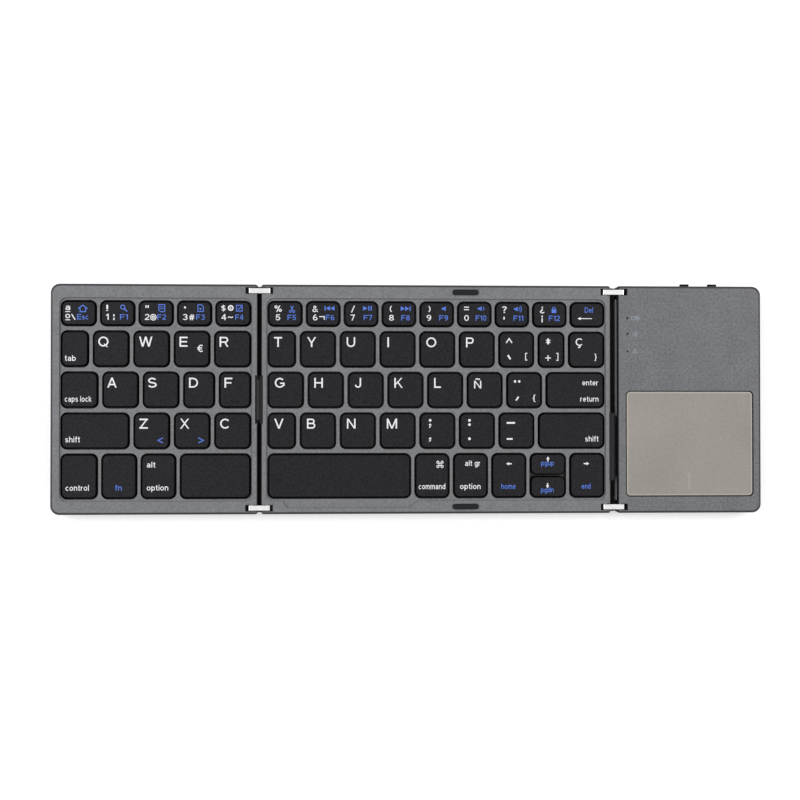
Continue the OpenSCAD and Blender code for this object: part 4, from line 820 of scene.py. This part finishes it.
def arc(centre, radius, start, end, steps):
    # round arc where y runs down
    return ovalArc(*centre, radius, -radius, start, end, steps)


def circle(centre, radius):
    return arc(centre, radius, 0, 345, 23)


def glyphPieces(sign):
    # flat outlines of one glyph, each with the layer it is printed in, so that no two lie in one plane
    pieces = []
    thickness = legendPrint["thickness"]
    for layer, (kind, *numbers) in enumerate(glyphs[sign][1:]):
        if kind == "bar":
            x0, y0, x1, y1 = numbers
            outlines = [[(x0, y0), (x1, y0), (x1, y1), (x0, y1)]]
        elif kind == "leg":
            foot, head, y0, y1 = numbers
            width = thickness * legendPrint["slant"]
            outlines = [[(foot, y0), (foot + width, y0), (head + width, y1), (head, y1)]]
        elif kind == "ring":
            outlines = ribbon(ovalArc(*numbers[0], 0, 345), thickness, closed=True)
        else:
            points = []
            for number in numbers:
                points += [number] if len(number) == 2 else ovalArc(*number)
            outlines = ribbon(points, thickness)
        pieces += [(layer, outline) for outline in outlines]
    return pieces


def wordPieces(words):
    # outlines of a word and the x it reaches
    x, pieces = 0, []
    for sign in words:
        if sign == " ":
            x += legendPrint["space"]
            continue
        pieces += [(layer, [(x + px, py) for px, py in piece]) for layer, piece in glyphPieces(sign)]
        x += glyphs[sign][0] + legendPrint["letterGap"]
    return pieces, x - legendPrint["letterGap"]


# Small pictures, each in its own box from (0, 0) at its upper left, in mm, y down
pictures = {
    "home": [("line", 0.42, [(0.1, 1.85), (2.1, 0.25), (4.1, 1.85)]),
             ("line", 0.42, [(0.95, 1.6), (0.95, 3.05), (3.25, 3.05), (3.25, 1.6)])],
    "glass": [("ring", 0.4, (1.15, 1.15), 0.85), ("line", 0.55, [(1.85, 1.85), (3.0, 3.0)])],
    "list": [("loop", 0.36, [(0.2, 0.2), (2.7, 0.2), (2.7, 3.2), (0.9, 3.2), (0.2, 2.5)]),
             ("line", 0.3, [(0.7, 1.15), (2.2, 1.15)]), ("line", 0.3, [(0.7, 1.95), (2.2, 1.95)])],
    "page": [("loop", 0.36, [(0.2, 0.2), (1.7, 0.2), (2.5, 1.0), (2.5, 3.1), (0.2, 3.1)]),
             ("fill", [(0.75, 1.5), (2.0, 1.9), (1.5, 2.15), (1.2, 2.7)])],
    "pencil": [("loop", 0.36, [(0.2, 0.4), (2.6, 0.4), (2.6, 2.9), (0.2, 2.9)]),
               ("line", 0.4, [(0.85, 2.3), (2.3, 0.95)])],
    "scissors": [("line", 0.34, [(0.75, 0.1), (1.75, 1.95)]), ("line", 0.34, [(1.95, 0.1), (1.42, 1.05)]),
                 ("line", 0.34, [(1.25, 1.35), (0.95, 1.95)]), ("ring", 0.32, (0.6, 2.45), 0.42),
                 ("ring", 0.32, (2.05, 2.45), 0.42)],
    "back": [("fill", [(0, 0), (0.45, 0), (0.45, 2.0), (0, 2.0)]),
             ("fill", [(2.35, 0), (2.35, 2.0), (0.55, 1.0)]),
             ("fill", [(4.25, 0), (4.25, 2.0), (2.45, 1.0)])],
    "play": [("fill", [(0, 0), (1.9, 1.0), (0, 2.0)]), ("fill", [(2.2, 0), (2.7, 0), (2.7, 2.0), (2.2, 2.0)]),
             ("fill", [(3.2, 0), (3.7, 0), (3.7, 2.0), (3.2, 2.0)])],
    "forward": [("fill", [(0, 0), (1.8, 1.0), (0, 2.0)]), ("fill", [(1.9, 0), (3.7, 1.0), (1.9, 2.0)]),
                ("fill", [(3.8, 0), (4.25, 0), (4.25, 2.0), (3.8, 2.0)])],
    "quiet": [("fill", [(0, 0.6), (0.7, 0.6), (1.8, 0), (1.8, 2.0), (0.7, 1.4), (0, 1.4)])],
    "softer": [("fill", [(0, 0.6), (0.7, 0.6), (1.7, 0), (1.7, 2.0), (0.7, 1.4), (0, 1.4)]),
               ("line", 0.32, arc((1.7, 1.0), 1.0, -50, 50, 6))],
    "louder": [("fill", [(0, 1.0), (0.7, 1.0), (1.7, 0.4), (1.7, 2.4), (0.7, 1.8), (0, 1.8)]),
               ("line", 0.3, arc((1.5, 1.4), 1.05, -48, 48, 6)),
               ("line", 0.3, arc((1.6, 1.4), 1.7, -52, 52, 8))],
    "padlock": [("fill", [(0, 1.15), (2.0, 1.15), (2.0, 2.75), (0, 2.75)]),
                ("line", 0.32, [(0.4, 1.15)] + arc((1.0, 0.85), 0.6, 180, 0, 8) + [(1.6, 1.15)])],
    "longLeft": [("fill", [(0, 0.7), (1.5, 0.05), (1.5, 1.35)]), ("line", 0.32, [(1.5, 0.7), (6.3, 0.7)])],
    "left": [("fill", [(0, 0.7), (1.2, 0), (1.2, 1.4)]), ("line", 0.5, [(1.2, 0.7), (2.4, 0.7)])],
    "right": [("fill", [(2.4, 0.7), (1.2, 1.4), (1.2, 0)]), ("line", 0.5, [(0, 0.7), (1.2, 0.7)])],
    "up": [("fill", [(0.7, 0), (1.4, 1.2), (0, 1.2)]), ("line", 0.5, [(0.7, 1.2), (0.7, 2.2)])],
    "down": [("fill", [(0.7, 2.2), (0, 1.0), (1.4, 1.0)]), ("line", 0.5, [(0.7, 0), (0.7, 1.0)])],
    "clover": [("ring", 0.3, (0.62, 0.62), 0.47), ("ring", 0.3, (2.46, 0.62), 0.47),
               ("ring", 0.3, (0.62, 2.46), 0.47), ("ring", 0.3, (2.46, 2.46), 0.47),
               ("loop", 0.3, [(1.06, 1.06), (2.02, 1.06), (2.02, 2.02), (1.06, 2.02)])],
    "euroCoin": [("ring", 0.5, (1.25, 1.25), 0.98), ("line", 0.3, arc((1.35, 1.25), 0.42, 50, 310, 8))],
    "battery": [("loop", 0.26, [(0.2, 0.25), (3.3, 0.25), (3.3, 1.7), (0.2, 1.7)]),
                ("line", 0.35, [(3.7, 0.7), (3.7, 1.25)]),
                ("fill", [(1.6, 0.65), (2.9, 0.65), (2.9, 1.3), (1.6, 1.3)])],
    "waves": [("line", 0.3, arc((0.6, 0.95), 0.55, -50, 50, 6)),
              ("line", 0.3, arc((0.6, 0.95), 1.35, -42, 42, 8)),
              ("line", 0.3, arc((0.6, 0.95), 2.15, -36, 36, 8))],
}


def markPieces(kind, *facts):
    # flat outlines of one mark and their layers, in mm, x to the right and y down
    if kind == "word":  # stretched to its width
        words, left, base, capital, width = facts
        pieces, reach = wordPieces(words)
        return [(layer, [(left + x * width / reach, base - y * capital) for x, y in piece])
                for layer, piece in pieces]
    if kind == "box":  # one glyph stretched to fill its box
        sign, left, width, top, bottom = facts
        pieces = glyphPieces(sign)
        xs, ys = zip(*(point for layer, piece in pieces for point in piece))
        across, along = width / (max(xs) - min(xs)), (bottom - top) / (max(ys) - min(ys))
        return [(layer, [(left + (x - min(xs)) * across, bottom - (y - min(ys)) * along) for x, y in piece])
                for layer, piece in pieces]
    if kind == "turned":  # the same, upside down
        sign, left, width, top, bottom = facts
        return markPieces("box", sign, left + width, -width, bottom, top)
    if kind == "picture":
        name, left, top = facts
        return [(layer, [(left + x, top + y) for x, y in piece]) for layer, part in enumerate(pictures[name])
                for below, piece in markPieces(*part)]
    if kind == "fill":
        outlines = [facts[0]]
    elif kind == "dot":
        outlines = [circle(facts[1], facts[0])]
    elif kind == "ring":
        outlines = ribbon(circle(facts[1], facts[2]), facts[0], closed=True)
    else:
        outlines = ribbon(facts[1], facts[0], closed=kind == "loop")
    return [(0, outline) for outline in outlines]


def printMarks(shape, origin, height, marks):
    # marks go right and down from the origin; "blue" in front of a mark names its ink
    for mark in marks:
        ink = 1 if mark[0] == "blue" else 0
        for layer, piece in markPieces(*mark[ink:]):
            level = height + legendPrint["lift"] + layer * legendPrint["layer"]
            film = shape.faces.new([shape.verts.new(((origin[0] + x) * mm, (origin[1] - y) * mm, level * mm))
                                    for x, y in piece])
            film.material_index = ink
            film.normal_update()
            if film.normal.z < 0:
                film.normal_flip()


def letter(words, left, width):
    return [("word", words, left, legendPrint["letterBase"], legendPrint["letter"], width)]


def fKey(label, left, width, picture, pictureLeft, pictureTop):
    return [("blue", "word", label, left, legendPrint["fKeyBase"], legendPrint["fKey"], width),
            ("blue", "picture", picture, pictureLeft, pictureTop)]


def digit(words, left, width):
    return [("word", words, left, legendPrint["digitBase"], legendPrint["digit"], width)]


def comma(x, y):
    tail = [(x + 0.28, y + 0.12), (x + 0.05, y + 0.75), (x - 0.4, y + 1.2)]
    return [("dot", 0.5, (x, y)), ("line", 0.42, tail)]


def plus(x, y, arm, half):
    corners = [(-half, -arm), (half, -arm), (half, -half), (arm, -half), (arm, half), (half, half),
               (half, arm), (-half, arm), (-half, half), (-arm, half), (-arm, -half), (-half, -half)]
    return [("fill", [(x + across, y + down) for across, down in corners])]


keyMarks = {
    "left_number_keys": [
        [("box", "a", 2.1, 2.0, 2.5, 4.35), ("line", 0.35, [(2.1, 5.0), (4.1, 5.0)]),
         ("box", "o", 2.1, 2.0, 6.0, 7.85), ("line", 0.35, [(2.1, 8.5), (4.1, 8.5)]),
         ("line", 0.45, [(4.7, 6.1), (6.2, 8.5)])] + fKey("Esc", 7.0, 4.8, "home", 7.3, 2.0),
        [("box", "!", 2.85, 0.75, 2.1, 4.7), ("line", 0.55, [(6.05, 6.1), (6.05, 7.05)]),
         ("line", 0.55, [(6.05, 7.6), (6.05, 8.55)])]
        + digit("1", 2.65, 1.3) + fKey("F1", 8.6, 3.4, "glass", 8.6, 1.9),
        [("line", 0.5, [(3.35, 2.2), (3.35, 3.35)]), ("line", 0.5, [(4.25, 2.2), (4.25, 3.35)]),
         ("box", "@", 5.05, 2.7, 5.95, 8.7)]
        + digit("2", 2.8, 2.0) + fKey("F2", 8.1, 3.7, "list", 8.5, 1.75),
        [("dot", 0.45, (3.55, 3.1)), ("box", "#", 5.3, 2.2, 6.05, 8.5)]
        + digit("3", 2.55, 2.1) + fKey("F3", 8.3, 3.6, "page", 8.8, 1.7),
        [("box", "$", 2.7, 1.8, 1.9, 4.75), ("picture", "euroCoin", 5.4, 2.0),
         ("box", "~", 5.3, 2.5, 6.8, 7.6)]
        + digit("4", 2.7, 2.1) + fKey("F4", 8.6, 3.4, "pencil", 8.9, 1.7),
    ],
    "left_tab_key": [[("word", "tab", 1.9, 13.1, 2.4, 4.6)]],
    "left_upper_keys": [
        letter("Q", 2.45, 4.35), letter("W", 2.6, 5.65),
        letter("E", 2.6, 3.4) + [("box", "€", 10.1, 2.4, 6.1, 9.25)], letter("R", 2.5, 3.85),
    ],
    "left_caps_key": [[("word", "caps lock", 1.95, 13.0, 2.4, 11.2)]],
    "left_home_keys": [letter("A", 2.3, 4.0), letter("S", 2.2, 3.95), letter("D", 2.65, 3.8),
                       letter("F", 2.55, 3.3)],
    "left_shift_key": [[("word", "shift", 2.15, 12.75, 2.45, 6.2)]],
    "left_lower_keys": [
        letter("Z", 2.7, 3.55) + [("blue", "line", 0.42, [(12.6, 10.85), (10.5, 11.95), (12.6, 13.05)])],
        letter("X", 2.75, 3.95) + [("blue", "line", 0.42, [(10.5, 10.85), (12.6, 11.95), (10.5, 13.05)])],
        letter("C", 2.6, 4.15),
    ],
    "left_modifier_keys": [
        [("word", "control", 2.35, 15.8, 2.4, 9.8)],
        [("blue", "word", "fn", 6.0, 15.8, 2.4, 2.85)],
        [("word", "alt", 2.75, 6.05, 2.4, 3.6), ("word", "option", 2.75, 15.8, 2.4, 9.05)],
    ],
    "middle_number_keys": [
        [("box", "%", 3.05, 3.15, 2.1, 4.85)] + digit("5", 3.5, 2.05)
        + fKey("F5", 8.6, 3.65, "scissors", 9.2, 2.2),
        [("box", "&", 2.95, 2.4, 2.2, 4.9), ("line", 0.4, [(5.85, 6.8), (8.0, 6.8), (8.0, 8.1)])]
        + digit("6", 3.15, 1.95) + fKey("F6", 8.65, 3.65, "back", 8.1, 2.25),
        [("line", 0.42, [(3.45, 5.0), (4.75, 2.05)])] + digit("7", 3.05, 1.85)
        + fKey("F7", 8.65, 3.65, "play", 8.4, 2.2),
        [("box", "(", 3.6, 1.0, 2.1, 4.75)] + digit("8", 3.3, 2.1)
        + fKey("F8", 8.55, 3.65, "forward", 8.3, 2.25),
        [("box", ")", 3.9, 1.0, 2.1, 4.75)] + digit("9", 3.2, 2.0)
        + fKey("F9", 8.65, 3.75, "quiet", 9.65, 2.25),
        [("line", 0.42, [(3.1, 2.55), (5.2, 2.55)]), ("line", 0.42, [(3.1, 3.6), (5.2, 3.6)])]
        + digit("0", 3.15, 2.05) + fKey("F10", 8.1, 4.6, "softer", 9.0, 2.15),
        [("box", "?", 3.25, 2.05, 2.1, 4.95), ("line", 0.6, [(4.15, 6.6), (4.15, 7.75)])]
        + fKey("F11", 8.2, 4.3, "louder", 8.4, 1.9),
        [("turned", "?", 3.45, 2.0, 2.3, 5.1), ("dot", 0.36, (4.4, 6.4)),
         ("line", 0.5, [(4.4, 7.1), (4.4, 9.0)])] + fKey("F12", 7.3, 4.8, "padlock", 8.5, 2.2),
    ],
    "backspace_key": [[("blue", "word", "Del", 6.6, 4.75, 2.3, 3.6), ("picture", "longLeft", 3.4, 6.6)]],
    "middle_upper_keys": [
        letter("T", 2.9, 3.4), letter("Y", 3.25, 3.9), letter("U", 3.1, 3.65), letter("I", 3.45, 0.75),
        letter("O", 3.1, 4.35), letter("P", 3.2, 3.3),
        [("line", 0.5, [(3.5, 5.05), (4.75, 3.2), (6.0, 5.05)]), ("line", 0.75, [(4.2, 10.3), (5.3, 12.1)]),
         ("line", 0.36, [(12.6, 9.5), (11.85, 9.5), (11.85, 12.4), (12.6, 12.4)])],
        [("box", "*", 3.4, 2.4, 3.1, 5.6),
         *plus(4.55, 11.5, 1.2, 0.21),
         ("line", 0.36, [(8.1, 9.5), (8.85, 9.5), (8.85, 12.5), (8.1, 12.5)])],
        [("box", "Ç", 3.35, 2.85, 3.0, 7.2), ("box", "}", 11.5, 1.1, 9.55, 12.8)],
    ],
    "middle_home_keys": [
        letter("G", 3.2, 4.25), letter("H", 2.95, 3.65), letter("J", 3.2, 2.7),
        letter("K", 3.05, 3.7), letter("L", 3.1, 2.9),
        [("box", "Ñ", 3.25, 3.1, 2.8, 7.2)],
        [("dot", 0.52, (3.9, 4.2)), ("dot", 0.52, (5.7, 4.2)), ("line", 0.65, [(5.4, 10.75), (4.3, 12.4)]),
         ("box", "{", 11.4, 1.3, 9.85, 13.05)],
    ],
    "enter_key": [[("word", "enter", 15.95, 5.85, 2.3, 6.9), ("word", "return", 15.1, 12.85, 2.3, 7.9)]],
    "middle_lower_keys": [
        letter("V", 3.0, 4.0), letter("B", 3.2, 3.55), letter("N", 3.2, 3.65), letter("M", 3.2, 4.4),
        [("dot", 0.55, (4.75, 3.5))] + comma(4.75, 5.45) + comma(4.75, 11.35),
        [("dot", 0.58, (4.6, 3.5)), ("dot", 0.58, (4.6, 5.35)), ("dot", 0.6, (4.6, 11.4))],
        [("line", 0.75, [(3.6, 4.6), (7.2, 4.6)]), ("line", 0.7, [(3.6, 11.5), (6.2, 11.5)])],
    ],
    "right_shift_key": [[("word", "shift", 20.5, 12.65, 2.4, 5.8)]],
    "middle_modifier_keys": [
        [("word", "command", 1.9, 15.55, 2.4, 11.4), ("picture", "clover", 9.5, 3.4)],
        [("word", "alt gr", 5.3, 5.65, 2.4, 6.6), ("word", "option", 3.15, 15.55, 2.4, 8.85)],
    ],
    "arrow_keys": [
        [("picture", "left", 6.5, 4.05), ("blue", "word", "home", 4.4, 15.55, 2.3, 6.15)],
        [("picture", "up", 7.3, 1.6), ("blue", "word", "pgup", 5.05, 5.5, 2.15, 5.5)],
        [("picture", "down", 7.1, 3.45), ("blue", "word", "pgdn", 4.95, 7.35, 2.15, 5.5)],
        [("picture", "right", 6.3, 4.05), ("blue", "word", "end", 5.4, 15.55, 2.3, 3.85)],
    ],
}


for node, keys in keyMarks.items():
    shape = bmesh.new()
    for (low, high), marks in zip(caps[node], keys):
        gap = keycapShape["clearance"]
        printMarks(shape, (low[0] - gap, high[1] + gap), high[2], marks)
    pieceFrom(node + "_legends", shape, [whiteInk, blueInk], node + "_body", smooth=False)
print("legends printed")


# Homing bars on F and J
homingBar = {"length": 3.4, "width": 0.5, "rise": 0.08, "sunk": 0.15, "fromFront": 2.6, "corner": 0.25,
             "levels": [(0, -0.08), (0.05, -0.02), (0.12, 0)]}  # mm; levels: inset, and height over its top
for node, index in (("left_home_keys", 3), ("middle_home_keys", 2)):
    low, high = caps[node][index]
    middle = (low[0] + high[0]) / 2
    y = low[1] + homingBar["fromFront"]
    foot, top = high[2] - homingBar["sunk"], high[2] + homingBar["rise"]
    barLow = (middle - homingBar["length"] / 2, y - homingBar["width"] / 2)
    barHigh = (middle + homingBar["length"] / 2, y + homingBar["width"] / 2)
    shape = bmesh.new()
    addPlate(shape, barLow, barHigh, homingBar["corner"],
             [(0, foot)] + [(inset, top + rise) for inset, rise in homingBar["levels"]])
    pieceFrom(node + "_homing_bar", shape, [keycapBlack], node + "_body")
print("homing bars added")


# Touchpad plate, its tick and the marks beside the indicator lights
low, high = boxMm("touchpad_plate")
shape = bmesh.new()
addPlate(shape, low, high, touchpadShape["corner"], plateLevels(low, high, touchpadShape["edge"], 0.0))
piece = pieceFrom("touchpad_face", shape, [touchWarm], "touchpad")
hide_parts("touchpad_plate")

shape = bmesh.new()
tickEnds = [(touchpadShape["tickX"], -y) for y in touchpadShape["tickY"]]
printMarks(shape, (0, 0), high.z, [("line", touchpadShape["tickWidth"], tickEnds)])
pieceFrom("touchpad_tick", shape, [tickInk], "touchpad", smooth=False)

panelMarks = [("picture", "battery", 95.4, -36.05), ("picture", "waves", 95.2, -29.15),
              ("word", "A", 96.05, -19.7, 2.1, 2.2)]  # mm from the frame's origin, y down
shape = bmesh.new()
printMarks(shape, (0, 0), boxMm("right_top_cover")[1].z, panelMarks)
pieceFrom("indicator_marks", shape, [panelInk], "right_panel", smooth=False)
print("touchpad and panel marks done")
